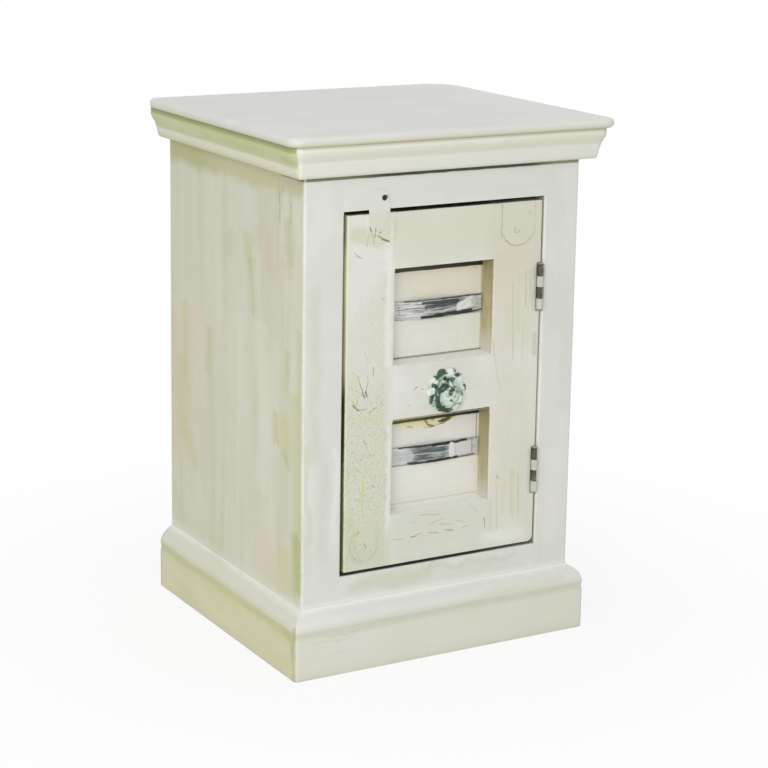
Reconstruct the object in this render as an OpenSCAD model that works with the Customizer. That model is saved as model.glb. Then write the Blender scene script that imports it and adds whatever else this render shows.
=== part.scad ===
// Bedside pot cupboard: a painted plank carcass on corner posts, under a bullnosed top with a
// cornice, on a moulded plinth, closed by one old ledged door that hangs on two butt hinges.
// Millimetres. +Z is up, the door faces -Y, and the origin is on the floor under the middle of
// the whole cupboard's box.

/* [Carcass] */
// Height over all
cab_h = 600; // [500:1:760]
// Width across the carcass sides
cab_w = 349; // [300:1:460]
// Depth of the carcass, from its front face to its back
cab_d = 339; // [270:1:420]
// Width of the front post on the free side of the door
post_left_w = 48; // [36:1:60]
// Width of the front post on the hinge side
post_right_w = 45.5; // [36:0.5:60]
// Depth of the front posts
post_d = 55; // [50:1:70]
// Side of the square rear posts
rear_post = 40; // [30:1:50]
// Thickness of the side boards
side_t = 18; // [14:1:24]
// Thickness of the side boards' tongues
tongue_t = 6; // [4:0.5:8]
// Length of the side boards' tongues
tongue_l = 8; // [5:0.5:12]
// Height of the side boards' lower edge above the floor
side_lift = 20; // [0:1:40]
// Height of the door's sill above the floor
sill_h = 107; // [96:1:130]
// Height of the lower front rail
sill_rail_h = 77; // [50:1:84]
// Height of the upper front rail
head_rail_h = 76; // [50:1:95]
// Thickness of the front rails
rail_t = 24; // [18:1:30]
// Thickness of the rails' tenons
tenon_t = 8; // [6:0.5:10]
// Length of the rails' tenons
tenon_l = 22; // [14:1:26]
// Height of the shoulder above and below a tenon
tenon_shoulder = 8; // [4:1:12]

/* [Top and mouldings] */
// Thickness of the top board, whose edge is a half round
top_t = 10.5; // [10:0.5:20]
// How far the top's nose stands past the carcass
top_over = 31; // [26:1:36]
// Radius of the top's corners, seen from above
top_corner_r = 16; // [13:1:26]
// Height of the cornice under the top
cornice_h = 35.5; // [28:0.5:40]
// Projection of the cornice at its upper edge
cornice_out = 24.5; // [20:0.5:25]
// Projection of the cornice's lower band
cornice_band_out = 18; // [14:0.5:18]
// Projection of the cornice at its lower edge
cornice_foot_out = 14.5; // [12:0.5:15]
// Height of the cornice's plain upper fillet
cornice_fillet_h = 6.5; // [3:0.5:7]
// Height of the cornice's lower band
cornice_band_h = 13; // [10:0.5:15]
// Radius of the cornice's corners, seen from above
cornice_corner_r = 4; // [2:0.5:8]
// Height of the plinth
plinth_h = 75; // [64:1:90]
// Thickness of the plinth boards
plinth_t = 15.5; // [14:0.5:20]
// Height of the plinth's rounded upper edge
plinth_round_h = 19; // [14:1:22]
// Depth of the shallow hollow under the plinth's rounded edge
plinth_hollow = 1.2; // [0.5:0.1:2]
// Height of the shallow hollow under the plinth's rounded edge
plinth_hollow_h = 11; // [8:1:14]
// Radius of the plinth's corners, seen from above
plinth_corner_r = 5; // [2:0.5:8]

/* [Inside] */
// Thickness of the floor board
floor_t = 12; // [9:1:18]
// Thickness of the shelf
shelf_t = 14; // [9:1:18]
// How far the shelf's underside lies below the middle of the door's middle rail
shelf_drop = 3.5; // [0:0.5:12]
// How far the shelf is set back from the door's inner face
shelf_set_back = 20; // [18:1:52]
// Side of the square cleats under the floor and the shelf
cleat = 20; // [12:1:24]
// Number of back boards
back_boards = 3; // [2:1:4]
// Thickness of the back boards
back_t = 8; // [6:1:10]
// Gap between the back boards
back_gap = 1; // [0.5:0.5:3]
// How far the back boards' ends lie over the rear posts
back_lap = 12; // [8:1:16]
// Height of the back boards' lower edge above the floor
back_lift = 60; // [40:1:70]
// Height of the rear rails
rear_rail_h = 40; // [30:1:50]
// Thickness of the rear rails
rear_rail_t = 20; // [16:1:24]
// Side of the square glue blocks under the top
glue_block = 20; // [14:1:24]
// Length of the glue blocks
glue_block_l = 45; // [30:1:60]
// Width of the stop strip behind the door's free edge
stop_w = 12; // [8:1:14]
// Depth of the stop strip
stop_d = 14; // [8:1:15]
// How far the stop strip ends short of the door's ends
stop_short = 20; // [10:1:40]
// Width of the magnetic catch
catch_w = 40; // [30:1:50]
// Height of the magnetic catch
catch_h = 12; // [10:1:14]
// Length of the magnetic catch that lies on the shelf
catch_seat = 16; // [12:1:24]
// Distance of the catch from the door's free edge
catch_in = 52; // [40:1:80]
// Width of the catch's strike plate on the door
strike_w = 24; // [16:1:28]
// Thickness of the strike plate
strike_t = 1; // [0.8:0.1:1.5]

/* [Door] */
// Thickness of the door
door_t = 38; // [34:1:40]
// Gap beside the door's free edge
gap_free = 4; // [2:0.5:6]
// Gap above the door
gap_top = 4; // [2:0.5:6]
// Gap below the door
gap_foot = 3.5; // [2:0.5:6]
// Width of the stile at the free edge
stile_free_w = 60; // [50:1:70]
// Width of the stile at the hinges
stile_hinge_w = 63; // [54:1:74]
// Height of the door's top rail
door_top_rail_h = 63; // [54:1:72]
// Height of the door's middle rail
door_mid_rail_h = 63; // [58:1:72]
// Height of the door's bottom rail
door_low_rail_h = 30; // [26:1:40]
// Height of the foot board below the bottom rail
door_foot_h = 28; // [22:1:36]
// Depth of the two recessed fields below the door's face
field_d = 23; // [18:1:24]
// Thickness of the panels
panel_t = 10; // [8:1:11]
// Depth of the panel grooves
groove_d = 8; // [6:1:10]
// Play that the panels have in their grooves, on each side
panel_play = 1; // [0.5:0.5:2]
// Thickness of the door's tenons
door_tenon_t = 10; // [8:1:12]
// Length of the door's tenons
door_tenon_l = 30; // [20:1:36]
// Height of the shoulder above and below a door tenon
door_shoulder = 5; // [3:1:8]

/* [Ironwork] */
// Height of the straps across the fields
strap_h = 22; // [16:1:24]
// Thickness of the straps
strap_t = 2.5; // [2:0.1:3]
// How far the straps bow out between their nailed ends
strap_bow = 3; // [2:0.5:6]
// Length of a strap's flat end
strap_foot = 13; // [10:1:18]
// Gap between a strap's end and the edge of its field
strap_gap = 2; // [1:0.5:6]
// How far the upper strap lies above the middle of its field
strap_rise_up = 1; // [-10:1:10]
// How far the lower strap lies above the middle of its field
strap_rise_low = 5; // [-10:1:10]
// Radius of a nail's head
nail_head_r = 2.6; // [2:0.1:3.5]
// Height of a nail's head
nail_head_h = 0.9; // [0.5:0.1:1.5]
// Radius of a nail's shank
nail_r = 1.2; // [0.8:0.1:1.6]
// Length of a nail's shank in the wood
nail_l = 8; // [5:0.5:9]
// Thickness of the corner plates
plate_t = 1.2; // [1:0.1:2.5]
// Width of the corner plate at the top of the hinge stile
plate_top_w = 44; // [34:1:46]
// Height of the corner plate at the top of the hinge stile
plate_top_h = 50; // [44:1:60]
// Distance of the top corner plate from the hinge edge of the door
plate_top_in = 10; // [9:0.5:12]
// Width of the corner plate at the foot of the free stile
plate_low_w = 36; // [28:1:46]
// Height of the corner plate at the foot of the free stile
plate_low_h = 46; // [40:1:60]
// Distance of the low corner plate from the free edge of the door
plate_low_in = 7; // [4:0.5:12]
// Distance of the low corner plate from the door's foot
plate_low_up = 9; // [5:1:20]

/* [Hinges] */
// Length of a hinge
hinge_len = 51; // [40:1:60]
// Radius of the hinge knuckles
knuckle_r = 4.4; // [4.4:0.05:5.4]
// Number of knuckles on a hinge
knuckles = 4; // [4:2:6]
// Gap between two knuckles
knuckle_gap = 0.2; // [0.1:0.05:0.4]
// Radius of the hinge pins
hinge_pin_r = 2.2; // [1.8:0.1:2.4]
// Radius of the buttons on the ends of the hinge pins
hinge_button_r = 3.4; // [3:0.1:4]
// Thickness of the buttons on the ends of the hinge pins
hinge_button_t = 1.5; // [1:0.1:2]
// Width of a hinge leaf
leaf_w = 28; // [22:1:34]
// Thickness of a hinge leaf
leaf_t = 1.1; // [0.9:0.1:1.6]
// Gap between the two leaves of a shut hinge
leaf_gap = 0.3; // [0.2:0.05:0.6]
// How far the hinge axis stands in front of the face
hinge_proud = 2; // [1.5:0.1:2.5]
// How far the hinge axis lies inside the door's edge
hinge_inset = 1.7; // [1.5:0.1:2]
// Distance from the door's top to the middle of the upper hinge
hinge_from_top = 99; // [60:1:110]
// Distance from the door's foot to the middle of the lower hinge
hinge_from_foot = 86; // [60:1:100]
// Distance between the two screws of a leaf
screw_pitch = 28; // [20:1:34]
// Radius of a hinge screw's shank
screw_r = 1.6; // [1.2:0.1:2]
// Radius of a hinge screw's head
screw_head_r = 3; // [2.4:0.1:3.4]
// Length of a hinge screw in the wood
screw_l = 16; // [10:1:20]

/* [Hasp and ring pull] */
// Width of the hasp
hasp_w = 26; // [20:1:30]
// Thickness of the hasp
hasp_t = 1; // [0.8:0.1:3]
// Distance from the hasp's rivet to the middle of its round upper end
hasp_l = 35; // [30:1:42]
// Distance of the hasp's rivet from the door's free edge
hasp_in = 40; // [30:1:50]
// Distance of the hasp's rivet below the door's top
hasp_down = 21; // [18:1:30]
// How far the hasp's upper end lies to the side of its rivet
hasp_lean = 1; // [0:0.5:4]
// Radius of the hole in the hasp's upper end
hasp_eye_r = 3.2; // [2.5:0.1:4]
// How far the hole lies to the side of the upper end's middle
hasp_eye_side = 6; // [0:0.5:6]
// How far the hole lies above the upper end's middle
hasp_eye_up = 2.5; // [0:0.5:3]
// Depth of the staple hole behind it in the upper front rail
staple_hole_d = 14; // [8:1:18]
// Radius of the hasp's rivet
rivet_r = 2.5; // [2:0.1:3]
// Radius of the rivet's head
rivet_head_r = 5; // [4.5:0.1:6]
// Height of the rivet's head
rivet_head_h = 1.8; // [1.2:0.1:2.5]
// Length of the rivet in the wood
rivet_l = 20; // [14:1:26]
// Gap between the hasp and the faces behind it
hasp_gap = 0.3; // [0.2:0.05:0.5]
// How far the pull lies to the hinge side of the door's middle
pull_side = 3; // [-20:1:20]
// How far the rosette's middle lies below the middle of its rail
pull_down = 3; // [-6:1:6]
// Radius of the rosette's plain centre
rosette_r = 19; // [16:1:21]
// Number of lobes round the rosette
rosette_lobes = 10; // [6:1:16]
// Radius of a lobe
rosette_lobe_r = 6.5; // [6.2:0.1:7.5]
// Thickness of the rosette
rosette_t = 2.5; // [1.5:0.1:3]
// Height of the raised rings on the rosette
relief_h = 1.4; // [0.8:0.1:2]
// How far the ring hangs above the rosette's middle
eye_up = 8; // [6:1:10]
// Mean radius of the ring
ring_r = 15; // [13:0.5:24]
// Radius of the ring's bar
ring_bar_r = 2.6; // [2:0.1:3]
// Clearance of the ring's bar in its eye
ring_play = 0.6; // [0.5:0.05:0.9]
// Wall of the eye round the ring's bar
eye_wall = 3; // [2.4:0.1:3.6]
// Width of the eye along the ring's bar
eye_w = 6; // [5:0.5:8]
// Radius of the eye's shank
shank_r = 3.5; // [3:0.1:4]
// Radius of the nut on the shank
nut_r = 6.5; // [5.5:0.1:8]
// Thickness of the nut
nut_t = 5; // [3:0.5:7]

/* [Hidden] */

// True circles, and the number of steps on curves drawn as polygons
$fn = 64;
curve_steps = 10;
// Clearance of a pin or shank in its bore
bore_play = 0.05;
// Space left round a knuckle where it turns in the wood
notch_play = 0.35;
// A cut reaches this far past the face that it opens
past = 1;
// Colours, as the photograph shows the finishes
c_paint = "#D7D7CF";
c_door = "#D9D8CA";
c_bare = "#B59B72";
c_iron = "#4A5054";
c_worn_iron = "#3A3A34";
c_mint = "#B9C8B6";
c_zinc = "#9DA1A3";

// Planes of the carcass
yf = (top_over - cab_d) / 2;
yb = yf + cab_d;
xl = -cab_w / 2;
xr = cab_w / 2;
top_z = cab_h - top_t;
// The door's opening
open_x0 = xl + post_left_w;
open_x1 = xr - post_right_w;
open_z1 = top_z - head_rail_h;
// The door: its hinge gap holds two leaves
gap_hinge = 2 * leaf_t + leaf_gap;
dx0 = open_x0 + gap_free;
dx1 = open_x1 - gap_hinge;
dz0 = sill_h + gap_foot;
dz1 = open_z1 - gap_top;
door_h = dz1 - dz0;
field_x0 = dx0 + stile_free_w;
field_x1 = dx1 - stile_hinge_w;
low_rail_z = dz0 + door_foot_h;
field_low_z0 = low_rail_z + door_low_rail_h;
field_h = (dz1 - door_top_rail_h - door_mid_rail_h - field_low_z0) / 2;
mid_rail_z = field_low_z0 + field_h;
field_up_z0 = mid_rail_z + door_mid_rail_h;
mid_z = mid_rail_z + door_mid_rail_h / 2;
// The hinge axis and the middles of the two hinges
hinge_x = dx1 - hinge_inset;
hinge_y = yf - hinge_proud;
hinge_zs = [dz0 + hinge_from_foot, dz1 - hinge_from_top];
knuckle_pitch = hinge_len / knuckles;
notch_l = hinge_len + 2 * (hinge_button_t + past);
screw_y = yf + leaf_w * 0.55;
// The floor and the shelf
floor_z = sill_h - floor_t;
shelf_z = mid_z - shelf_drop;
back_x0 = xl + rear_post - back_lap;
back_x1 = xr - rear_post + back_lap;
// The hasp's rivet and round end
hasp_x = dx0 + hasp_in;
hasp_z = dz1 - hasp_down;
hasp_y = yf - hasp_gap;
// The ring's axis
pull_x = (dx0 + dx1) / 2 + pull_side;
pull_z = mid_z - pull_down;
eye_z = pull_z + eye_up;
eye_bore_r = ring_bar_r + ring_play;
eye_r = eye_bore_r + eye_wall;
eye_y = yf - rosette_t - relief_h - ring_bar_r - 0.5;
// Nails through the straps and the corner plates, as [x, z]
strap_up_z = field_up_z0 + field_h / 2 + strap_rise_up;
strap_low_z = field_low_z0 + field_h / 2 + strap_rise_low;
strap_x0 = field_x0 + strap_gap;
strap_x1 = field_x1 - strap_gap;
strap_nail_xs = [strap_x0 + strap_foot / 2, strap_x1 - strap_foot / 2];
plate_top_x = dx1 - plate_top_in - plate_top_w / 2;
plate_low_x = dx0 + plate_low_in + plate_low_w / 2;
plate_low_z = dz0 + plate_low_up;
plate_top_nails = [[plate_top_x, dz1 - 33], [plate_top_x + 15, dz1 - 13]];
plate_low_nails = [[plate_low_x + 2, plate_low_z + 17], [plate_low_x - 8, plate_low_z + 36]];

// A box between two corners
module block(a, b) {
    translate(a) cube(b - a);
}

// A cylinder along +Y from y0 to y1
module bar_y(x, z, y0, y1, r, fn = $fn) {
    translate([x, y0, z]) rotate([-90, 0, 0]) cylinder(h = y1 - y0, r = r, $fn = fn);
}

// ---- profiles of the mouldings: x is the projection from the carcass, y is the height ----

module nose_profile() {
    nose_r = top_t / 2;
    translate([0, top_z]) square([top_over - nose_r, top_t]);
    translate([top_over - nose_r, top_z + nose_r]) circle(nose_r);
}

// Fillet, ogee and band, with a small round under the band
module cornice_profile() {
    z0 = top_z - cornice_h;
    ogee_top = top_z - cornice_fillet_h;
    ogee_foot = z0 + cornice_band_h;
    ogee = [for (i = [0 : curve_steps]) let (t = i / curve_steps)
        [cornice_band_out + (cornice_out - cornice_band_out) * (1 + cos(180 * t)) / 2,
         ogee_top + (ogee_foot - ogee_top) * t]];
    foot_r = 2;
    foot = [for (a = [0 : 30 : 90])
        [cornice_foot_out - foot_r + foot_r * cos(a), z0 + foot_r - foot_r * sin(a)]];
    polygon(concat([[0, top_z], [cornice_out, top_z]], ogee, foot, [[0, z0]]));
}

// Plain face, shallow hollow, and an arc that leans back to the carcass
module plinth_profile() {
    round_z = plinth_h - plinth_round_h;
    hollow_z = round_z - plinth_hollow_h;
    hollow = [for (i = [0 : curve_steps]) let (t = i / curve_steps)
        [plinth_t - plinth_hollow * sin(180 * t), hollow_z + plinth_hollow_h * t]];
    chord = norm([plinth_t, plinth_round_h]);
    arc_r = chord;
    lean = atan2(plinth_t, plinth_round_h);
    arc_c = [plinth_t - arc_r * cos(lean - 30), round_z - arc_r * sin(lean - 30)];
    arc = [for (i = [1 : curve_steps]) let (a = lean - 30 + 60 * i / curve_steps)
        arc_c + arc_r * [cos(a), sin(a)]];
    polygon(concat([[0, 0], [plinth_t, 0]], hollow, arc));
}

// The profile's part past d, moved in by d
module beyond(d, reach) {
    translate([-d, 0]) intersection() {
        children();
        translate([d, -past]) square([reach, cab_h + 2 * past]);
    }
}

// A run of the profile that starts at p, lies along the direction a and projects to its right
module run(p, a, l) {
    translate([p[0], p[1], 0]) rotate([0, 0, a]) rotate([90, 0, 0]) mirror([0, 0, 1])
        linear_extrude(l) children();
}

// A quarter turn of the profile about p, from the direction a on
module quarter_turn(p, a, d, reach) {
    translate([p[0], p[1], 0]) rotate([0, 0, a]) rotate_extrude(angle = 90)
        beyond(d, reach) children();
}

// Half of the space in front of the carcass, cut at 45 degrees at both corners
module front_wedge() {
    far = 60;
    translate([0, 0, -past]) linear_extrude(cab_h + 2 * past)
        polygon([[xl - far, yf - far], [xr + far, yf - far], [xr, yf], [xl, yf]]);
}

// The space beside one side of the carcass: s is -1 on the left and 1 on the right
module side_wedge(s) {
    far = 60;
    translate([0, 0, -past]) linear_extrude(cab_h + 2 * past)
        polygon([[s * xr, yf], [s * (xr + far), yf - far], [s * (xr + far), yb], [s * xr, yb]]);
}

// Front moulding: the straight stretch and half of each round corner
module front_moulding(d, reach) {
    intersection() {
        union() {
            run([xl - d, yf], -90, cab_w + 2 * d) children();
            quarter_turn([xl - d, yf - d], 180, d, reach) children();
            quarter_turn([xr + d, yf - d], 270, d, reach) children();
        }
        front_wedge();
    }
}

// Side moulding on the right: the straight stretch and half of the front corner
module right_moulding(d, reach) {
    intersection() {
        union() {
            run([xr, yf - d], 0, cab_d + d) children();
            quarter_turn([xr + d, yf - d], 270, d, reach) children();
        }
        side_wedge(1);
    }
}

// ---- top and mouldings ----

module top_board() {
    color(c_paint) difference() {
        union() {
            d = top_over - top_corner_r;
            block([xl - d, yf - d, top_z], [xr + d, yb, cab_h]);
            run([xl - d, yf], -90, cab_w + 2 * d) nose_profile();
            run([xr, yf - d], 0, cab_d + d) nose_profile();
            mirror([1, 0, 0]) run([xr, yf - d], 0, cab_d + d) nose_profile();
            quarter_turn([xl - d, yf - d], 180, d, top_over) nose_profile();
            quarter_turn([xr + d, yf - d], 270, d, top_over) nose_profile();
        }
        for (s = [-1, 1]) back_corner_cut(s);
    }
}

// What rounds a back corner of the top
module back_corner_cut(s) {
    p = [s * (xr + top_over - top_corner_r), yb - top_corner_r, top_z - past];
    translate(p) linear_extrude(top_t + 2 * past) difference() {
        translate([s > 0 ? 0 : -top_corner_r - past, 0]) square(top_corner_r + past);
        circle(top_corner_r);
    }
}

module cornice_front() {
    color(c_paint) front_moulding(cornice_foot_out - cornice_corner_r, cornice_out)
        cornice_profile();
}

module cornice_right() {
    color(c_paint) right_moulding(cornice_foot_out - cornice_corner_r, cornice_out)
        cornice_profile();
}

module cornice_left() {
    mirror([1, 0, 0]) cornice_right();
}

module plinth_front() {
    color(c_paint) front_moulding(plinth_t - plinth_corner_r, plinth_t) plinth_profile();
}

module plinth_right() {
    color(c_paint) right_moulding(plinth_t - plinth_corner_r, plinth_t) plinth_profile();
}

module plinth_left() {
    mirror([1, 0, 0]) plinth_right();
}

// ---- carcass ----

// A rail's body between two posts, with a tenon on each end
module tenoned_rail(x0, x1, y0, y1, z0, z1, length, thick, shoulder) {
    ty = (y0 + y1 - thick) / 2;
    block([x0, y0, z0], [x1, y1, z1]);
    block([x0 - length, ty, z0 + shoulder], [x1 + length, ty + thick, z1 - shoulder]);
}

module rail_front_head() {
    color(c_paint) difference() {
        tenoned_rail(open_x0, open_x1, yf, yf + rail_t, open_z1, top_z,
            tenon_l, tenon_t, tenon_shoulder);
        staple_hole();
    }
}

module rail_front_sill() {
    color(c_paint) tenoned_rail(open_x0, open_x1, yf, yf + rail_t, sill_h - sill_rail_h, sill_h,
        tenon_l, tenon_t, tenon_shoulder);
}

module rail_rear_head() {
    color(c_bare) tenoned_rail(xl + rear_post, xr - rear_post, yb - back_t - rear_rail_t,
        yb - back_t, top_z - rear_rail_h, top_z, tenon_l, tenon_t, tenon_shoulder);
}

module rail_rear_foot() {
    color(c_bare) tenoned_rail(xl + rear_post, xr - rear_post, yb - back_t - rear_rail_t,
        yb - back_t, floor_z - rear_rail_h, floor_z, tenon_l, tenon_t, tenon_shoulder);
}

// Where the hasp's staple went into the head rail
module staple_hole() {
    bar_y(hasp_x - hasp_lean + hasp_eye_side, hasp_z + hasp_l + hasp_eye_up, yf - past,
        yf + staple_hole_d, hasp_eye_r);
}

// A side board with a tongue on its front and rear edge
module side_board() {
    color(c_paint) {
        block([xr - side_t, yf + post_d, side_lift], [xr, yb - rear_post, top_z]);
        block([xr - (side_t + tongue_t) / 2, yf + post_d - tongue_l, side_lift],
            [xr - (side_t - tongue_t) / 2, yb - rear_post + tongue_l, top_z]);
    }
}

module side_right() {
    side_board();
}

module side_left() {
    mirror([1, 0, 0]) side_board();
}

module post_front_right() {
    color(c_paint) difference() {
        block([xr - post_right_w, yf, 0], [xr, yf + post_d, top_z]);
        side_board();
        rail_front_head();
        rail_front_sill();
        hinge_notches();
        hinge_frame_screw_holes();
    }
}

module post_front_left() {
    color(c_paint) difference() {
        block([xl, yf, 0], [xl + post_left_w, yf + post_d, top_z]);
        side_left();
        rail_front_head();
        rail_front_sill();
    }
}

module post_rear_right() {
    color(c_paint) difference() {
        block([xr - rear_post, yb - rear_post, 0], [xr, yb, top_z]);
        side_board();
        rail_rear_head();
        rail_rear_foot();
        block([xl, yb - back_t, back_lift], [back_x1, yb + past, top_z + past]);
    }
}

module post_rear_left() {
    mirror([1, 0, 0]) post_rear_right();
}

// One of the back boards, counted from the left, cut to a whole tenth of a millimetre
module back_board(i) {
    w = floor(10 * (back_x1 - back_x0 - (back_boards - 1) * back_gap) / back_boards) / 10;
    x0 = back_x0 + i * (w + back_gap);
    color(c_bare) block([x0, yb - back_t, back_lift], [x0 + w, yb, top_z]);
}

// A board across the carcass, cut out round the posts
module notched_board(y0, z0, t) {
    difference() {
        block([xl + side_t, y0, z0], [xr - side_t, yb - back_t, z0 + t]);
        block([xl, yf, z0 - past], [xl + post_left_w, yf + post_d, z0 + t + past]);
        block([xr - post_right_w, yf, z0 - past], [xr, yf + post_d, z0 + t + past]);
        for (s = [-1, 1]) block([s > 0 ? xr - rear_post : xl, yb - rear_post, z0 - past],
            [s > 0 ? xr : xl + rear_post, yb, z0 + t + past]);
    }
}

module floor_board() {
    color(c_bare) notched_board(yf + rail_t, floor_z, floor_t);
}

module shelf() {
    color(c_bare) notched_board(yf + door_t + shelf_set_back, shelf_z, shelf_t);
}

// A pair of cleats on the side boards, with their upper faces at z
module cleat_pair(z) {
    color(c_bare) for (s = [0, 1]) mirror([s, 0, 0])
        block([xr - side_t - cleat, yf + post_d, z - cleat], [xr - side_t, yb - rear_post, z]);
}

module floor_cleats() {
    cleat_pair(floor_z);
}

module shelf_cleats() {
    cleat_pair(shelf_z);
}

// Two blocks on each side, glued under the top
module glue_blocks() {
    run_l = cab_d - post_d - rear_post;
    color(c_bare) for (s = [0, 1], share = [0.25, 0.75]) mirror([s, 0, 0])
        translate([xr - side_t - glue_block, yf + post_d + run_l * share - glue_block_l / 2,
            top_z - glue_block])
            cube([glue_block, glue_block_l, glue_block]);
}

module door_stop() {
    color(c_bare) block([open_x0, yf + door_t + hasp_gap, dz0 + stop_short],
        [open_x0 + stop_w, yf + door_t + hasp_gap + stop_d, dz1 - stop_short]);
}

// ---- door ----

module door_rail(z0, z1) {
    tenoned_rail(field_x0, field_x1, yf, yf + door_t, z0, z1,
        door_tenon_l, door_tenon_t, door_shoulder);
}

// The panels fill their grooves from face to face and stop short of the grooves' floors
module panel(z0) {
    reach = groove_d - panel_play;
    block([field_x0 - reach, yf + field_d, z0 - reach],
        [field_x1 + reach, yf + field_d + panel_t, z0 + field_h + reach]);
}

// What the grooves round a field take out of the door's frame
module groove(z0) {
    block([field_x0 - groove_d, yf + field_d, z0 - groove_d],
        [field_x1 + groove_d, yf + field_d + panel_t, z0 + field_h + groove_d]);
}

module all_door_rails() {
    door_rail(dz0, low_rail_z);
    door_rail(low_rail_z, field_low_z0);
    door_rail(mid_rail_z, field_up_z0);
    door_rail(dz1 - door_top_rail_h, dz1);
}

module door_stile_free() {
    color(c_door) difference() {
        block([dx0, yf, dz0], [field_x0, yf + door_t, dz1]);
        all_door_rails();
        groove(field_low_z0);
        groove(field_up_z0);
        nail_holes(plate_low_nails, yf, nail_l + plate_t);
        rivet_hole();
    }
}

module door_stile_hinge() {
    color(c_door) difference() {
        block([field_x1, yf, dz0], [dx1, yf + door_t, dz1]);
        all_door_rails();
        groove(field_low_z0);
        groove(field_up_z0);
        nail_holes(plate_top_nails, yf, nail_l + plate_t);
        hinge_notches();
        hinge_door_screw_holes();
    }
}

module door_rail_top() {
    color(c_door) difference() {
        door_rail(dz1 - door_top_rail_h, dz1);
        groove(field_up_z0);
        rivet_hole();
    }
}

module door_rail_middle() {
    color(c_door) difference() {
        door_rail(mid_rail_z, field_up_z0);
        groove(field_low_z0);
        groove(field_up_z0);
        bar_y(pull_x, eye_z, yf - past, yf + door_t + past, shank_r + bore_play);
    }
}

module door_rail_bottom() {
    color(c_door) difference() {
        door_rail(low_rail_z, field_low_z0);
        groove(field_low_z0);
    }
}

module door_foot_board() {
    color(c_door) door_rail(dz0, low_rail_z);
}

module door_panel_upper() {
    color(c_door) difference() {
        panel(field_up_z0);
        nail_holes([for (x = strap_nail_xs) [x, strap_up_z]], yf + field_d, nail_l);
    }
}

module door_panel_lower() {
    color(c_door) difference() {
        panel(field_low_z0);
        nail_holes([for (x = strap_nail_xs) [x, strap_low_z]], yf + field_d, nail_l);
    }
}

// ---- ironwork on the door ----

// Nails with round heads at [x, z] points, driven to a surface at y
module nails(points, y, deep) {
    for (p = points) translate([p[0], y, p[1]]) rotate([-90, 0, 0]) union() {
        cylinder(h = deep, r = nail_r);
        translate([0, 0, -nail_head_h]) cylinder(h = nail_head_h, r1 = nail_head_r * 0.7,
            r2 = nail_head_r);
    }
}

module nail_holes(points, y, deep) {
    for (p = points) bar_y(p[0], p[1], y - past, y + deep, nail_r + bore_play);
}

// A bar with two flat ends and a bowed middle, seen from above
module strap(z) {
    span = strap_x1 - strap_x0 - 2 * strap_foot;
    yw = yf + field_d;
    bow = [for (i = [0 : 2 * curve_steps]) let (t = i / (2 * curve_steps))
        [strap_x0 + strap_foot + span * t, yw - strap_bow * (1 - cos(360 * t)) / 2]];
    back = concat([[strap_x0, yw]], bow, [[strap_x1, yw]]);
    front = [for (i = [len(back) - 1 : -1 : 0]) back[i] - [0, strap_t]];
    color(c_iron) difference() {
        translate([0, 0, z - strap_h / 2]) linear_extrude(strap_h) polygon(concat(back, front));
        nail_holes([for (x = strap_nail_xs) [x, z]], yw - strap_t, strap_t + past);
    }
}

module strap_upper() {
    strap(strap_up_z);
}

module strap_lower() {
    strap(strap_low_z);
}

module strap_nails() {
    color(c_worn_iron) for (z = [strap_up_z, strap_low_z])
        nails([for (x = strap_nail_xs) [x, z]], yf + field_d - strap_t, strap_t + nail_l - past);
}

// A plate with a round lower end, its lower edge at z0
module tongue_plate(x, z0, w, h, points) {
    difference() {
        union() {
            block([x - w / 2, yf - plate_t, z0 + w / 2], [x + w / 2, yf, z0 + h]);
            bar_y(x, z0 + w / 2, yf - plate_t, yf, w / 2);
        }
        nail_holes(points, yf - plate_t, plate_t + past);
    }
}

module corner_plate_top() {
    color(c_door) tongue_plate(plate_top_x, dz1 - plate_top_h, plate_top_w, plate_top_h,
        plate_top_nails);
}

module corner_plate_low() {
    color(c_door) tongue_plate(plate_low_x, plate_low_z, plate_low_w, plate_low_h,
        plate_low_nails);
}

module plate_nails() {
    color(c_worn_iron) nails(concat(plate_top_nails, plate_low_nails), yf - plate_t,
        plate_t + nail_l);
}

// ---- hinges ----

// Knuckle k of the hinge at z: a cylinder of radius r, longer by grow at each end
module knuckle(z, k, r, grow = 0) {
    z0 = z - hinge_len / 2 + k * knuckle_pitch + knuckle_gap / 2;
    translate([hinge_x, hinge_y, z0 - grow])
        cylinder(h = knuckle_pitch - knuckle_gap + 2 * grow, r = r);
}

// A leaf from x0 to x1 that owns the knuckles k with k % 2 == own
module hinge_leaf(z, x0, x1, own) {
    difference() {
        union() {
            block([x0, hinge_y, z - hinge_len / 2 + knuckle_gap / 2],
                [x1, yf + leaf_w, z + hinge_len / 2 - knuckle_gap / 2]);
            for (k = [own : 2 : knuckles - 1]) knuckle(z, k, knuckle_r);
        }
        for (k = [1 - own : 2 : knuckles - 1])
            knuckle(z, k, knuckle_r + notch_play, knuckle_gap);
        translate([hinge_x, hinge_y, z - hinge_len]) cylinder(h = 2 * hinge_len,
            r = hinge_pin_r + bore_play);
    }
}

module frame_leaf(z) {
    color(c_worn_iron) difference() {
        hinge_leaf(z, open_x1 - leaf_t, open_x1, 1);
        for (s = [-1, 1]) frame_screw(z + s * screw_pitch / 2, bore_play);
    }
}

module door_leaf(z) {
    color(c_worn_iron) difference() {
        hinge_leaf(z, dx1, dx1 + leaf_t, 0);
        for (s = [-1, 1]) door_screw(z + s * screw_pitch / 2, bore_play);
    }
}

module hinge_pin(z) {
    l = hinge_len + 2 * knuckle_gap;
    color(c_worn_iron) translate([hinge_x, hinge_y, z - l / 2]) union() {
        cylinder(h = l, r = hinge_pin_r);
        translate([0, 0, -hinge_button_t]) cylinder(h = hinge_button_t, r = hinge_button_r);
        translate([0, 0, l]) cylinder(h = hinge_button_t, r = hinge_button_r);
    }
}

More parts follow.
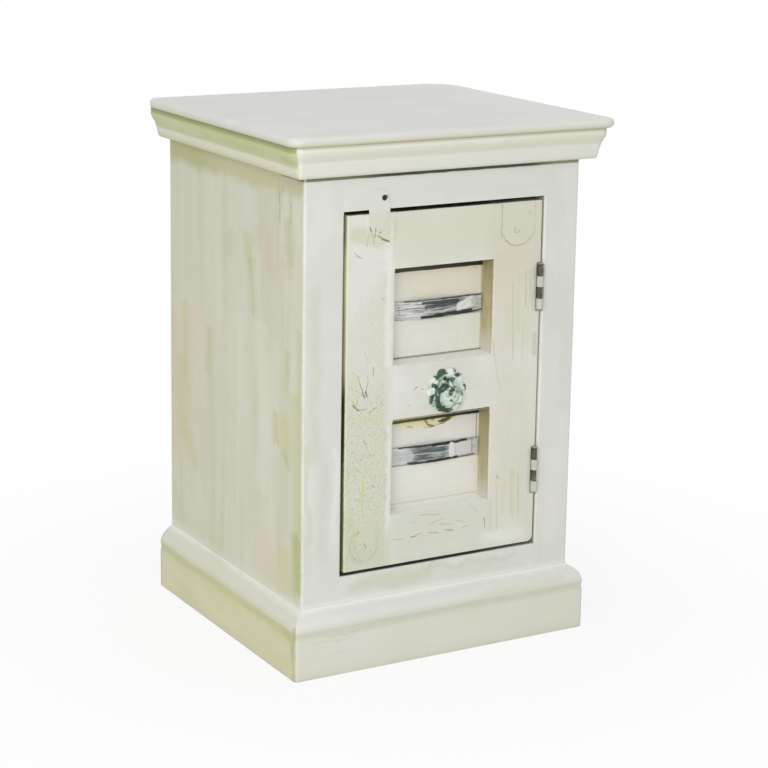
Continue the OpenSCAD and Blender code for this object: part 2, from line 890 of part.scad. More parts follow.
// A countersunk screw along +Z with its flat head at z = 0
module screw(play) {
    cylinder(h = screw_l + leaf_t, r = screw_r + play);
    cylinder(h = leaf_t, r1 = screw_head_r + play, r2 = screw_r + play);
}

module frame_screw(z, play = 0) {
    translate([open_x1 - leaf_t, screw_y, z]) rotate([0, 90, 0]) screw(play);
}

module door_screw(z, play = 0) {
    translate([dx1 + leaf_t, screw_y, z]) rotate([0, -90, 0]) screw(play);
}

module hinge_frame_screws() {
    color(c_zinc) for (z = hinge_zs, s = [-1, 1]) frame_screw(z + s * screw_pitch / 2);
}

module hinge_door_screws() {
    color(c_zinc) for (z = hinge_zs, s = [-1, 1]) door_screw(z + s * screw_pitch / 2);
}

module hinge_frame_screw_holes() {
    for (z = hinge_zs, s = [-1, 1]) frame_screw(z + s * screw_pitch / 2, bore_play);
}

module hinge_door_screw_holes() {
    for (z = hinge_zs, s = [-1, 1]) door_screw(z + s * screw_pitch / 2, bore_play);
}

// Round notches that give the knuckles room in the door and the post
module hinge_notches() {
    for (z = hinge_zs) translate([hinge_x, hinge_y, z - notch_l / 2])
        cylinder(h = notch_l, r = knuckle_r + notch_play);
}

// ---- hasp ----

module hasp() {
    r = hasp_w / 2;
    top_x = hasp_x - hasp_lean;
    top_zc = hasp_z + hasp_l;
    color(c_door) difference() {
        union() {
            bar_y(hasp_x, hasp_z, hasp_y - hasp_t, hasp_y, r);
            bar_y(top_x, top_zc, hasp_y - hasp_t, hasp_y, r);
            translate([0, hasp_y, 0]) rotate([90, 0, 0]) linear_extrude(hasp_t)
                polygon([[hasp_x - r, hasp_z], [hasp_x + r, hasp_z],
                    [top_x + r, top_zc], [top_x - r, top_zc]]);
        }
        bar_y(hasp_x, hasp_z, hasp_y - hasp_t - past, hasp_y + past, rivet_r + bore_play);
        bar_y(top_x + hasp_eye_side, top_zc + hasp_eye_up, hasp_y - hasp_t - past,
            hasp_y + past, hasp_eye_r);
    }
}

// Head, shank and the collar that keeps the hasp off the door
module hasp_rivet() {
    head_y = hasp_y - hasp_t - bore_play;
    color(c_door) union() {
        bar_y(hasp_x, hasp_z, head_y, yf + rivet_l, rivet_r);
        bar_y(hasp_x, hasp_z, hasp_y + bore_play, yf, rivet_head_r);
        translate([hasp_x, head_y, hasp_z]) rotate([90, 0, 0])
            cylinder(h = rivet_head_h, r1 = rivet_head_r, r2 = rivet_head_r * 0.55);
    }
}

module rivet_hole() {
    bar_y(hasp_x, hasp_z, yf - past, yf + rivet_l, rivet_r + bore_play);
}

// ---- ring pull ----

// A flat ring of mean radius r, seen from the front
module relief_ring(r) {
    width = 2.4;
    difference() {
        circle(r + width / 2);
        circle(r - width / 2);
    }
}

// A round plate with lobes round its edge and two raised rings, open where the eye passes
module pull_rosette() {
    color(c_mint) translate([pull_x, yf, pull_z]) rotate([90, 0, 0]) union() {
        linear_extrude(rosette_t) difference() {
            union() {
                circle(rosette_r - 1);
                for (i = [0 : rosette_lobes - 1]) rotate(i * 360 / rosette_lobes)
                    translate([rosette_r, 0]) circle(rosette_lobe_r);
            }
            translate([0, eye_up]) circle(eye_r + ring_play);
        }
        translate([0, 0, rosette_t]) linear_extrude(relief_h) difference() {
            union() {
                relief_ring(rosette_r - 2);
                relief_ring(rosette_r - 8);
            }
            translate([0, eye_up]) circle(eye_r + ring_play);
        }
    }
}

// The eye round the ring's bar, with its collar and its shank through the door
module pull_eye() {
    face_y = yf - rosette_t;
    color(c_worn_iron) difference() {
        union() {
            translate([pull_x - eye_w / 2, eye_y, eye_z]) rotate([0, 90, 0])
                cylinder(h = eye_w, r = eye_r);
            bar_y(pull_x, eye_z, face_y, yf, eye_r);
            bar_y(pull_x, eye_z, yf - past, yf + door_t + nut_t + 2 * past, shank_r);
        }
        translate([pull_x - eye_w, eye_y, eye_z]) rotate([0, 90, 0])
            cylinder(h = 2 * eye_w, r = eye_bore_r);
    }
}

module pull_nut() {
    y0 = yf + door_t;
    color(c_worn_iron) difference() {
        bar_y(pull_x, eye_z, y0, y0 + nut_t, nut_r, 6);
        bar_y(pull_x, eye_z, y0 - past, y0 + nut_t + past, shank_r + bore_play);
    }
}

module pull_ring() {
    color(c_worn_iron) translate([pull_x, eye_y, eye_z - ring_r]) rotate([90, 0, 0])
        rotate_extrude($fn = 96) translate([ring_r, 0]) circle(ring_bar_r, $fn = 32);
}

// ---- magnetic catch ----

module catch_body() {
    y0 = yf + door_t + strike_t + hasp_gap;
    x0 = dx0 + catch_in;
    color(c_zinc) block([x0, y0, shelf_z + shelf_t],
        [x0 + catch_w, yf + door_t + shelf_set_back + catch_seat, shelf_z + shelf_t + catch_h]);
}

module catch_strike() {
    x0 = dx0 + catch_in + (catch_w - strike_w) / 2;
    y0 = yf + door_t;
    color(c_zinc) block([x0, y0, shelf_z + shelf_t],
        [x0 + strike_w, y0 + strike_t, shelf_z + shelf_t + catch_h]);
}

top_board();
cornice_front();
cornice_left();
cornice_right();
post_front_left();
post_front_right();
post_rear_left();
post_rear_right();
rail_front_head();
rail_front_sill();
rail_rear_head();
rail_rear_foot();
side_left();
side_right();
back_board(0);  // back_board_1
back_board(1);  // back_board_2
back_board(2);  // back_board_3
floor_board();
shelf();
floor_cleats();
shelf_cleats();
glue_blocks();
door_stop();
plinth_front();
plinth_left();
plinth_right();
door_stile_free();
door_stile_hinge();
door_rail_top();
door_rail_middle();
door_rail_bottom();
door_foot_board();
door_panel_upper();
door_panel_lower();
strap_upper();
strap_lower();
strap_nails();
corner_plate_top();
corner_plate_low();
plate_nails();
frame_leaf(hinge_zs[1]);  // hinge_upper_frame_leaf
door_leaf(hinge_zs[1]);  // hinge_upper_door_leaf
hinge_pin(hinge_zs[1]);  // hinge_upper_pin
frame_leaf(hinge_zs[0]);  // hinge_lower_frame_leaf
door_leaf(hinge_zs[0]);  // hinge_lower_door_leaf
hinge_pin(hinge_zs[0]);  // hinge_lower_pin
hinge_frame_screws();
hinge_door_screws();
hasp();
hasp_rivet();
pull_rosette();
pull_eye();
pull_nut();
pull_ring();
catch_body();
catch_strike();
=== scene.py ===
import math

import bpy
import numpy as np
from mathutils import Matrix, Vector


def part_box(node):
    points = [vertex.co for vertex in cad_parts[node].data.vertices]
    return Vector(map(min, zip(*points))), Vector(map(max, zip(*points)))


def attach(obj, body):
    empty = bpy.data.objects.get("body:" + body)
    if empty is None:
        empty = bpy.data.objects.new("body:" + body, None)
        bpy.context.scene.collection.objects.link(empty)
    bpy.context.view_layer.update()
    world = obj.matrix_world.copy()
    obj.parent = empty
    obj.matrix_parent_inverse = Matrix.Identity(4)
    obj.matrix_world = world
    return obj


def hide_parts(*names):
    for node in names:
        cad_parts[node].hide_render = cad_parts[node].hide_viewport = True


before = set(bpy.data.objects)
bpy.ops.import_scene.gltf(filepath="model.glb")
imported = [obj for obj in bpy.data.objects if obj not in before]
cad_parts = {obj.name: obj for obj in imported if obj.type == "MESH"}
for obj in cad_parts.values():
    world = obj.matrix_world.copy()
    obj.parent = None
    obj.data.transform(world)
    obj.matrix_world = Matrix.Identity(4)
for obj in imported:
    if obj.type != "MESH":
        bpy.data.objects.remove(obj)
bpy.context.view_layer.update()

# ---- camera ----
# The photograph was taken from the cupboard's front left at standing height, with a long lens.
# Its frame is square, and the lens axis meets it a little above the middle.
yaw, pitch, roll = 0.52328, -0.2159, 0.0161
ahead = Vector((math.sin(yaw) * math.cos(pitch), math.cos(yaw) * math.cos(pitch), math.sin(pitch)))
level = Vector((math.cos(yaw), -math.sin(yaw), 0))
above = level.cross(ahead)
side_axis = level * math.cos(roll) + above * math.sin(roll)
up_axis = -level * math.sin(roll) + above * math.cos(roll)
stand = Vector((-1.2349, -2.1624, 0.9180))
lens = bpy.data.cameras.new("photo_camera")
lens.sensor_width = 36
lens.lens = 102.99
lens.shift_y = -0.10417
lens.clip_end = 30
camera = bpy.data.objects.new("photo_camera", lens)
bpy.context.scene.collection.objects.link(camera)
camera.matrix_world = Matrix((
    (side_axis.x, up_axis.x, -ahead.x, stand.x),
    (side_axis.y, up_axis.y, -ahead.y, stand.y),
    (side_axis.z, up_axis.z, -ahead.z, stand.z),
    (0, 0, 0, 1)))
bpy.context.scene.camera = camera
bpy.context.scene.view_settings.view_transform = "Standard"

# ---- face frame: two posts and two rails ----
# Planed softwood boards, tenoned together, filled and brushed with thin off-white paint, so their
# joints hardly show. Their arrises are rubbed round by hand and by use.


def colour(code):
    """A six digit sRGB hex code as a linear colour with alpha 1."""
    part = np.array([int(code[i:i + 2], 16) for i in (0, 2, 4)]) / 255
    part = np.where(part <= 0.04045, part / 12.92, ((part + 0.055) / 1.055) ** 2.4)
    return (*part, 1)


def put(tree, kind, inputs=(), out=0, **settings):
    """Adds one shader node, sets its properties, fills or links its inputs, which are listed in
    order or by name, and returns an output."""
    made = tree.nodes.new("ShaderNode" + kind)
    for key, value in settings.items():
        setattr(made, key, value)
    for key, value in (inputs if isinstance(inputs, dict) else dict(enumerate(inputs))).items():
        if isinstance(value, bpy.types.NodeSocket):
            tree.links.new(value, made.inputs[key])
        else:
            made.inputs[key].default_value = colour(value) if isinstance(value, str) else value
    return made.outputs[out]


def wash(t, shade, value, low, high, share, tint):
    """Lays a tint over a shade: none of it where the value is at low, its share at high."""
    amount = put(t, "MapRange", [value, low, high, 0.0, share], interpolation_type="SMOOTHSTEP")
    return put(t, "Mix", {0: amount, 6: shade, 7: tint}, 2, data_type="RGBA")


def within(t, *limits):
    """A mask: the product of its limits. Each is (value, low, high) and rises evenly from 0 where
    the value is at low to 1, or to a fourth number, where it is at high."""
    mask = None
    for value, low, high, *most in limits:
        step = put(t, "MapRange", [value, low, high, 0.0, *(most or [1.0])])
        mask = step if mask is None else put(t, "Math", [mask, step], operation="MULTIPLY")
    return mask


def lay(t, shade, tint, *limits):
    """Lays a tint over a shade by the mask of these limits."""
    return put(t, "Mix", {0: within(t, *limits), 6: shade, 7: tint}, 2, data_type="RGBA")


def mottle(t, at, waves, seed=0.0, detail=4.0, rough=0.6, out=0):
    """A cloud of noise with so many waves per metre along x, y and z."""
    waves = waves if isinstance(waves, tuple) else (waves,) * 3
    moved = put(t, "Mapping", {"Vector": at, "Scale": waves, "Location": (seed, seed * 2, seed * 3)})
    return put(t, "TexNoise", {"Vector": moved, "Scale": 1.0, "Detail": detail, "Roughness": rough}, out)


def strokes(t, at, shade, plane, wobble, waves, items, fade=0.6, where=None):
    """Paints soft-edged strokes in millimetres on the plane of x and z (0) or y and z (1). Each
    lists its start's and its end's two coordinates, half its width, its strength and its tint,
    and covers the points whose distance to its line is less than that half, in coordinates that
    a noise moves by wobble millimetres. On the plane of y and z a stroke is 2.5 times as wide
    along y, as the stains there are."""
    push = put(t, "VectorMath", [mottle(t, at, waves, 0.0, 3.0, out=1), (0.5, 0.5, 0.5)], operation="SUBTRACT")
    push = put(t, "VectorMath", {0: push, "Scale": wobble * 0.002}, operation="SCALE")
    moved = put(t, "VectorMath", [at, push], operation="ADD")
    squeeze = np.array([1 - plane, 0.4 * plane, 1])
    moved = put(t, "VectorMath", [moved, tuple(squeeze)], operation="MULTIPLY")
    painted = shade
    for x0, z0, x1, z1, half, strength, tint in items:
        start = np.array([x0, x0, z0]) * squeeze * 0.001
        way = np.array([x1, x1, z1]) * squeeze * 0.001 - start
        off = put(t, "VectorMath", [moved, tuple(start)], operation="SUBTRACT")
        if way.any():
            share = put(t, "VectorMath", [off, tuple(way / (way @ way))], 1, operation="DOT_PRODUCT")
            near = put(t, "VectorMath", {0: tuple(way), "Scale": put(t, "Clamp", [share])}, operation="SCALE")
            off = put(t, "VectorMath", [off, near], operation="SUBTRACT")
        gap = put(t, "VectorMath", [off], 1, operation="LENGTH")
        painted = wash(t, painted, gap, half * 0.001, half * (1 - fade) * 0.001, strength, tint)
    if where is None:
        return painted
    return put(t, "Mix", {0: where, 6: shade, 7: painted}, 2, data_type="RGBA")


def wander(s, seed, length):
    """A smooth random line between 0 and 1: five sines of falling height, whose wavelengths
    start at length and shrink, with seeded phases."""
    rng = np.random.default_rng(seed)
    total = np.zeros(np.shape(s))
    for k in range(5):
        wave = length / (1.9 ** k) * rng.uniform(0.8, 1.2)
        total = total + np.sin(2 * np.pi * (s / wave + rng.uniform())) / (1.5 ** k)
    return np.clip(0.5 + total / 5.2, 0, 1)


def shape(name, parts, body, material, stands_for=(), wear=None, close=True, tip=0.0):
    """A mesh from one or more grids of points in millimetres: rows along the first axis, closed
    loops along the second. Each end loop is closed by a fan to its middle, the first of which
    stands out by tip along -y, and a loop of four points by one face. Faces are turned outwards
    by the sign of the enclosed volume."""
    flat, faces = np.zeros((0, 3)), []
    for grid in parts:
        m, n = grid.shape[:2]
        ring = len(flat) + np.arange(m * n).reshape(m, n)
        first, last, middle = ring[0], ring[-1], len(flat) + m * n
        flat = np.vstack([flat, grid.reshape(-1, 3)])
        quads = np.stack([ring[:-1], np.roll(ring[:-1], -1, 1), np.roll(ring[1:], -1, 1), ring[1:]],
                         -1).reshape(-1, 4)
        caps = np.zeros((0, 3), int)
        if close and n == 4:
            quads = np.vstack([quads, first[::-1], last])
        elif close:
            flat = np.vstack([flat, grid[0].mean(0) - [0, tip, 0], grid[-1].mean(0)])
            caps = np.vstack([np.stack([np.full(n, middle), np.roll(first, -1), first], -1),
                              np.stack([np.full(n, middle + 1), last, np.roll(last, -1)], -1)])
            caps = caps[:, ::-1] if tip else caps  # a nail head's fans are wound against its sides
            wear = None if wear is None else np.append(wear.ravel(), [0, 0])
        p = flat[np.vstack([quads[:, [0, 1, 2]], quads[:, [0, 2, 3]], caps])]
        outward = np.einsum("ij,ij->i", p[:, 0], np.cross(p[:, 1], p[:, 2])).sum() > 0
        faces += [face if outward else face[::-1] for face in quads.tolist() + caps.tolist()]
    mesh = bpy.data.meshes.new(name)
    mesh.from_pydata((flat * 0.001).tolist(), [], faces)
    mesh.polygons.foreach_set("use_smooth", np.ones(len(faces), bool))
    rub = mesh.attributes.new("wear", "FLOAT", "POINT")
    if wear is not None:
        rub.data.foreach_set("value", np.asarray(wear, np.float32).ravel())
    mesh.materials.append(material)
    mesh.update()
    piece = bpy.data.objects.new(name, mesh)
    bpy.context.scene.collection.objects.link(piece)
    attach(piece, body)
    if stands_for:
        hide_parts(stands_for)
    return piece


def board(name, lo, hi, along, radius, body, material, stands_for=(), seed=0, rough=0.25,
          ends=1.0, steps=70, notches=(), extra=(), foot_round=0.0):
    """A plank between two corners. Its section is a rectangle whose four arrises are arcs, and it
    is carried along one axis. The arcs' radii are four numbers or functions of the place along
    the board, each arris dips inwards by a wandering dent, each face by a slow wave, and the
    section draws in over the end radius. A notch swaps an arris for part of a circle, and
    foot_round rounds the far lower corner of an upright."""
    lo, hi = np.array(lo, float), np.array(hi, float)
    cross = [axis for axis in (0, 1, 2) if axis != along]
    turn = np.linspace(np.pi / 2, 0, 5)[:-1]
    run_in, drop = ends * (1 - np.sin(turn)), ends * (1 - np.cos(turn))
    inner = np.concatenate([np.linspace(lo[along] + ends, hi[along] - ends, steps), extra])
    if foot_round:
        inner = np.append(inner, lo[along] + foot_round * np.linspace(0.4, 1.1, 8))
    s = np.concatenate([lo[along] + run_in, np.sort(inner), hi[along] - run_in[::-1]])
    inset = np.concatenate([drop, np.zeros(len(inner)), drop[::-1]])
    radius = radius if isinstance(radius, list) else [radius] * 4
    r = np.stack([k(s) if callable(k) else np.full(len(s), float(k)) for k in radius], 1)
    dent = np.stack([rough * wander(s, seed * 11 + c, 40) * np.minimum(1, r[:, c] / 0.8) for c in range(4)], 1)
    a, b = span = (hi - lo)[cross]
    rc = np.minimum(r + 1.5 * dent, min(a, b) * 0.45)[..., None]
    corners = np.array([[0, 0], [a, 0], [a, b], [0, b]])
    ways = np.array([[1, 0], [0, 1], [-1, 0], [0, -1]])
    flank = 1.6
    # each arris's arc with a flat point on either side, and points along the face to the next
    section, w, arcs = [], [], []
    for c in range(4):
        arc = (1 + 0.5 * c) * np.pi + np.linspace(0, np.pi / 2, 6)
        centre = np.where(corners[c] == 0, 1, -1)
        bend = corners[c] + rc[:, c, None] * (centre + np.column_stack([np.cos(arc), np.sin(arc)]))
        far = bend[:, -1:] + ways[c] * flank
        end = (corners[(c + 1) % 4] - ways[c] * (rc[:, (c + 1) % 4] + flank))[:, None]
        count = max(3, int(abs(corners[(c + 1) % 4] - corners[c]).max() / 12))
        share = np.linspace(0, 1, count + 1)[1:-1, None]
        push = 0.5 * rough * wander(s, seed * 11 + 5 + c, 150)[:, None, None] * np.sin(np.pi * share)
        arcs.append(slice(len(w) + 1, len(w) + 7))
        section += [bend[:, :1] - ways[c - 1] * flank, bend, far,
                    far + (end - far) * share + push * (-ways[c][1], ways[c][0])]
        w += [0, 0.7, 1, 1, 1, 1, 0.7, 0] + [0] * len(share)
    section = np.concatenate(section, 1)
    for c, z0, z1, mid_p, mid_q, rn in notches:
        rows = (s > z0) & (s < z1)
        mp, mq = mid_p - lo[cross[0]], mid_q - lo[cross[1]]
        edge_p, edge_q = mp - math.sqrt(rn ** 2 - mq ** 2), mq + math.sqrt(rn ** 2 - (a - mp) ** 2)
        t0 = math.atan2(-mq, edge_p - mp) % (2 * np.pi)
        t1 = math.atan2(edge_q - mq, a - mp) % (2 * np.pi)
        angle = t0 + (t1 - t0) * np.arange(6) / 5
        p, q = section[rows, :, 0], section[rows, :, 1]
        section[rows, :, 0] = np.where(abs(q) < 1, np.minimum(p, edge_p), p)
        section[rows, :, 1] = np.where(abs(p - a) < 1, np.maximum(q, edge_q), q)
        section[rows, arcs[c]] = np.column_stack([mp + rn * np.cos(angle), mq + rn * np.sin(angle)])
    if foot_round:
        up = np.clip(s - lo[along], 0, foot_round)
        cut = foot_round - np.sqrt(foot_round ** 2 - (foot_round - up) ** 2)
        section[..., 0] = np.minimum(section[..., 0], (a - cut)[:, None])
    grid = np.zeros((*section.shape[:2], 3))
    grid[..., cross] = lo[cross] + span / 2 + (section - span / 2) * (1 - 2 * inset[:, None, None] / span)
    grid[..., along] = s[:, None]
    return shape(name, [grid], body, material, stands_for, np.maximum(w, (inset[:, None] > 0.05) * 0.9))


def begin(name):
    """A new material, its node tree, the object coordinates and their x, y and z."""
    made = bpy.data.materials.new(name)
    made.use_nodes = True
    at = put(made.node_tree, "TexCoord", out=3)
    return made, made.node_tree, at, put(made.node_tree, "SeparateXYZ", [at]).node.outputs


def finish(t, shade, rough, relief, strength, depth, metal=0.0):
    """Links a colour and a relief of so many metres to the surface shader, with a roughness that
    is one number, or runs from one to another as a noise does from 0.3 to 0.7."""
    shader = t.nodes["Principled BSDF"]
    t.links.new(shade, shader.inputs["Base Color"])
    shader.inputs["Metallic"].default_value = metal
    if isinstance(rough, float):
        shader.inputs["Roughness"].default_value = rough
    else:
        noise, low, high = rough
        t.links.new(put(t, "MapRange", [noise, 0.3, 0.7, low, high]), shader.inputs["Roughness"])
    t.links.new(put(t, "Bump", {"Strength": strength, "Distance": depth, "Height": relief}), shader.inputs["Normal"])


def grained(along, lengthwise, across):
    """Waves per metre along x, y and z for a pattern that follows the grain."""
    return tuple(lengthwise if k == along else across for k in range(3))


def old_paint(name, base, pale, deep, rubbed_and_lit, along, streak=0.35, patch=0.35, rub=0.5, gloss=0.5, seed=0,
              relief=0.12, extras=None):
    """Brushed paint on wood. Brush marks 2 mm wide and 90 mm long follow the grain, bands of thin
    paint 40 mm by 250 mm shift the tint, blots lighten it, and a worn tint shows where the wear
    attribute and a fine noise agree; where that tint is paler than the paint, it is also a painted
    highlight on the arrises. Extras add tints by place and by the way a face looks."""
    made, t, at, where = begin(name)
    brush = mottle(t, at, grained(along, 11.0, 500.0), seed)
    bands = mottle(t, at, grained(along, 4.0, 26.0), seed + 7, 5.0)
    blots = mottle(t, at, 15.0, seed, 6.0)
    specks = mottle(t, at, 260.0, 0.0, 3.0, 0.7)
    worn = put(t, "Attribute", out=2, attribute_name="wear")
    shade = wash(t, base, bands, 0.36, 0.66, streak * 1.6, deep)
    shade = wash(t, shade, brush, 0.42, 0.72, streak, pale)
    shade = wash(t, shade, blots, 0.44, 0.68, patch * 1.3, pale)
    if extras:
        turned = put(t, "SeparateXYZ", [put(t, "TexCoord", out=1)]).node.outputs
        shade = extras(t, at, where, turned, shade)
    edge = put(t, "Math", [worn, 0.55, put(t, "Math", [specks, blots], operation="MULTIPLY")],
               operation="MULTIPLY_ADD")
    shade = wash(t, shade, edge, 0.70, 0.84, rub, rubbed_and_lit)
    finish(t, shade, (brush, gloss, gloss + 0.12), brush, 0.35, relief * 0.001)
    return made


def weathered(t, at, shade):
    """Olive and pale clouds 25 mm wide and 450 mm long, as the upright side boards show."""
    growth = mottle(t, at, (30.0, 44.0, 2.2), 2.0, 6.0, 0.55)
    shade = wash(t, shade, growth, 0.50, 0.66, 0.5, "C6C4A4")
    return wash(t, shade, growth, 0.46, 0.34, 0.45, "DADACF")


def under_cornice_shade_height(t, at, height):
    """The height that the painted shade under the cornice reads, moved by a ragged noise."""
    return put(t, "Math", [mottle(t, at, (20.0, 22.0, 5.0), 4.0, 3.0), 0.03, height], operation="MULTIPLY_ADD")


# marks on the posts' outer sides, as strokes on the plane of y and z; the last, dark at the front
# corner just under the cornice, is painted shade
post_side_marks = [
    (-121, 536, -125, 520, 4, 0.5, "B9B88E"), (-125, 520, -125.5, 499, 2.2, 0.7, "B1B28A"),
    (-118, 500, -123, 455, 7, 0.6, "BABA92"), (-137, 522, -143, 486, 6, 0.5, "D7D9C6"),
    (-106, 507, -106, 480, 5, 0.6, "D6D7CF"), (-104, 455, -122, 444, 7, 0.45, "CCC1AA"),
    (-119, 361, -115, 316, 2.5, 0.55, "B8BC95"), (-128, 330, -124, 300, 8, 0.4, "D5CEBA"),
    (-108, 282, -118, 245, 9, 0.8, "CAC893"), (-125, 268, -127, 240, 4, 0.5, "D3D3AE"),
    (-111, 244, -121, 228, 3.5, 0.6, "BBB989"), (-144, 385, -148, 98, 5, 0.6, "BFC498"),
    (-136, 310, -141, 150, 10, 0.6, "C5C798"), (-142, 152, -146, 94, 9, 0.85, "B2B578"),
    (-115, 128, -124, 90, 13, 0.65, "CDC897"), (-146, 552, -150, 548, 6, 0.8, "909266")]
# soft patches on the face, on the plane of x and z
face_marks = [
    (-163, 430, -160, 250, 13, 0.6, "CECEC0"), (-150, 250, -146, 130, 11, 0.5, "CDCFC0"),
    (-158, 560, -150, 500, 22, 0.6, "DEDFDB"), (-134, 250, -133, 150, 7, 0.7, "E2E3DD"),
    (-105, 96, -20, 94, 16, 0.75, "C8CDB6"), (-15, 101, 100, 97, 6, 0.5, "C2C8B2"),
    (-170, 260, -166, 150, 8, 0.55, "CDCFB4"), (20, 92, 90, 90, 14, 0.35, "D0D3C4"),
    (-70, 530, -20, 532, 20, 0.5, "D4DAD2"), (165, 540, 162, 430, 18, 0.4, "DFDFD6"),
    (158, 250, 150, 120, 22, 0.5, "E3E1DA")]


def frame_tints(t, at, where, turned, shade):
    """Soft patches on the face, streaks on the outer side, painted shade under the cornice as a band
    on the outer side and a dark line on the face, painted shade on the faces inside the opening, a
    painted highlight along the top of the plinth, and a painted dark spot for the shade in the hole
    that a staple left."""
    shade = strokes(t, at, shade, 0, 14, 30.0, face_marks, fade=0.95)
    across = put(t, "Math", [where[0]], operation="ABSOLUTE")
    outer = within(t, (put(t, "Math", [turned[0]], operation="ABSOLUTE"), 0.45, 0.9, 0.95),
                   (across, 0.16, 0.160001))
    shade = lay(t, shade, weathered(t, at, "D2D1BC"), (outer, 0.0, 1.0))
    shade = strokes(t, at, shade, 1, 14, (90.0, 90.0, 9.0), post_side_marks, fade=0.97, where=outer)
    # painted shade in a band with a ragged foot under the cornice, on the outer side
    shade = wash(t, shade, under_cornice_shade_height(t, at, where[2]), 0.539, 0.553, within(t, (outer, 0.0, 1.0, 0.8)),
                 "B9B791")
    # the opening's inner faces, seen in the gaps round the door, carry painted shade: grey on the
    # posts but pale between about 230 and 380 up, and dark from the left over the sill
    post_gap_shade = wash(t, "CFCFC4", where[2], 0.38, 0.42, 1.0, "A5A598")
    post_gap_shade = wash(t, "A5A598", where[2], 0.20, 0.23, 1.0, post_gap_shade)
    sill_gap_shade = wash(t, "26270F", where[0], 0.02, 0.12, 1.0, "A5A592")
    shade = wash(t, shade, where[1], -0.1532, -0.1505, within(t, (across, 0.132501, 0.1325, 0.85)),
                 lay(t, sill_gap_shade, post_gap_shade, (where[2], 0.108, 0.11)))
    # a painted highlight along the top of the plinth, and a line of painted shade just under the
    # cornice, olive at the left and nearly black across the middle
    shade = wash(t, shade, where[2], 0.084, 0.075, 0.6, "ECECE6")
    shade = wash(t, shade, where[2], 0.0772, 0.0755, 0.4, "FFFFFF")
    line = put(t, "Math", [mottle(t, at, 60.0), 0.0016, where[2]], operation="MULTIPLY_ADD")
    shadow_line_tint = wash(t, "1F1C0D", where[0], 0.10, 0.15, 1.0, "8F8A66")
    shadow_line_tint = wash(t, "77734C", where[0], -0.13, -0.07, 1.0, shadow_line_tint)
    shade = wash(t, shade, line, 0.5487, 0.5502, 0.95, shadow_line_tint)
    # a painted dark spot stands for the shade in the hole that a staple left
    spot = put(t, "VectorMath", [put(t, "CombineXYZ", {0: where[0], 2: where[2]}), (-0.0775, 0, 0.526)], 1,
               operation="DISTANCE")
    return wash(t, shade, spot, 0.0038, 0.0034, 1.0, "0B0A06")


# brushed off-white emulsion over softwood: satin, with fine streaks along the grain, and a paler
# worn tint that also paints the highlight on the rounded arrises
post_paint = old_paint("brushed_offwhite_paint_upright", "D7D8D1", "DFE0DC", "D0D1C6", "E6E6E0", 2,
                       streak=0.3, patch=0.35, rub=0.5, extras=frame_tints)
rail_paint = old_paint("brushed_offwhite_paint_level", "D9DBD4", "DEDFDB", "CFD2C6", "E6E6E0", 0,
                       streak=0.3, patch=0.35, rub=0.5, seed=3, extras=frame_tints)
# the carcass's half width, its front and the posts' back, the underside of the top, and the opening
half_wide, face_y, post_back, under, open_left, open_right = 174.5, -154.0, -99.0, 589.5, -126.5, 129.0


def seam_radius(z):
    """The seam behind the front post is open only near its top, where paint never filled it."""
    return 0.12 + 1.0 * np.interp(z, [0, 480, 497, 552, 560], [0, 0, 1, 1, 0])


def beside_opening(edge):
    """An arris's radius: edge along the door's opening, and nothing where a rail joins the post."""
    return lambda z: np.interp(z, [106, 108, 512.5, 514.5], [0.02, edge, edge, 0.02])


board("left_front_post", (-half_wide, face_y, 0), (open_left, post_back, under), 2,
      [2.6, beside_opening(1.6), 0.02, seam_radius], "carcass", post_paint, "post_front_left",
      seed=1, steps=120)
board("right_front_post", (open_right, face_y, 0), (half_wide, post_back, under), 2,
      [beside_opening(2.5), 2.6, seam_radius, 0.02], "carcass", post_paint, "post_front_right",
      seed=2, steps=120)
for name, z0, z1, radii, stands, seed in (
        ("head_rail", 513.5, under, [1.5, 0.02, 0.02, 0.02], "rail_front_head", 3),
        ("sill_rail", 30, 107, [0.02, 0.02, 1.0, 1.5], "rail_front_sill", 4)):
    board(name, (open_left, face_y, z0), (open_right, -130, z1), 0, radii, "carcass", rail_paint,
          stands, seed=seed, ends=0.04, rough=0.05)

# ---- sides and rear posts ----
# Wide boards tongued into the posts and washed with thinner cream paint, so the upright grain and
# olive and tan stains read through it as soft streaks.
side_marks = [
    (-98.4, 548, -98.2, 496, 0.9, 0.85, "77775F"), (-56, 540, -60, 350, 13, 0.4, "C9C7AE"),
    (-86, 520, -88, 370, 9, 0.3, "CCC8AE"), (-14, 532, -24, 494, 16, 0.6, "D6D8CF"),
    (76, 512, 72, 468, 13, 0.35, "D5D6CA"), (-19, 468, -31, 442, 10, 0.65, "C3C699"),
    (-31, 442, -37, 386, 6, 0.6, "B9B997"), (24, 465, 29, 443, 11, 0.45, "C5C3A4"),
    (-46, 458, -52, 369, 7, 0.6, "D9D8C4"), (-52, 369, -63, 269, 10, 0.65, "DCDACB"),
    (-63, 269, -58, 190, 12, 0.6, "DADACE"), (-66, 515, -62, 480, 5, 0.4, "C6C4A5"),
    (-70, 481, -80, 434, 9, 0.5, "CFC3AC"), (148, 360, 143, 278, 6, 0.65, "CAC49A"),
    (170, 338, 170, 170, 13, 0.6, "D3C8AF"), (114, 360, 104, 316, 14, 0.6, "D9CEB9"),
    (76, 344, 82, 289, 5.5, 0.55, "C3BF9E"), (150, 290, 149, 205, 14, 0.6, "C9C69E"),
    (149, 208, 118, 173, 12, 0.6, "C9C79B"), (-89, 283, -92, 252, 5, 0.7, "C5C096"),
    (-59, 142, -67, 92, 15, 0.65, "D9CCB7"), (69, 99, 63, 76, 7, 0.6, "C9CCA0"),
    (174, 125, 160, 93, 14, 0.5, "C7C7AA"), (-10, 330, -20, 210, 12, 0.35, "D8D7C8"),
    (30, 300, 40, 200, 14, 0.3, "D7D1BE"), (95, 240, 90, 140, 9, 0.35, "CAC9AE"),
    (-92, 90, -90, 120, 12, 0.4, "D0CAA8")]


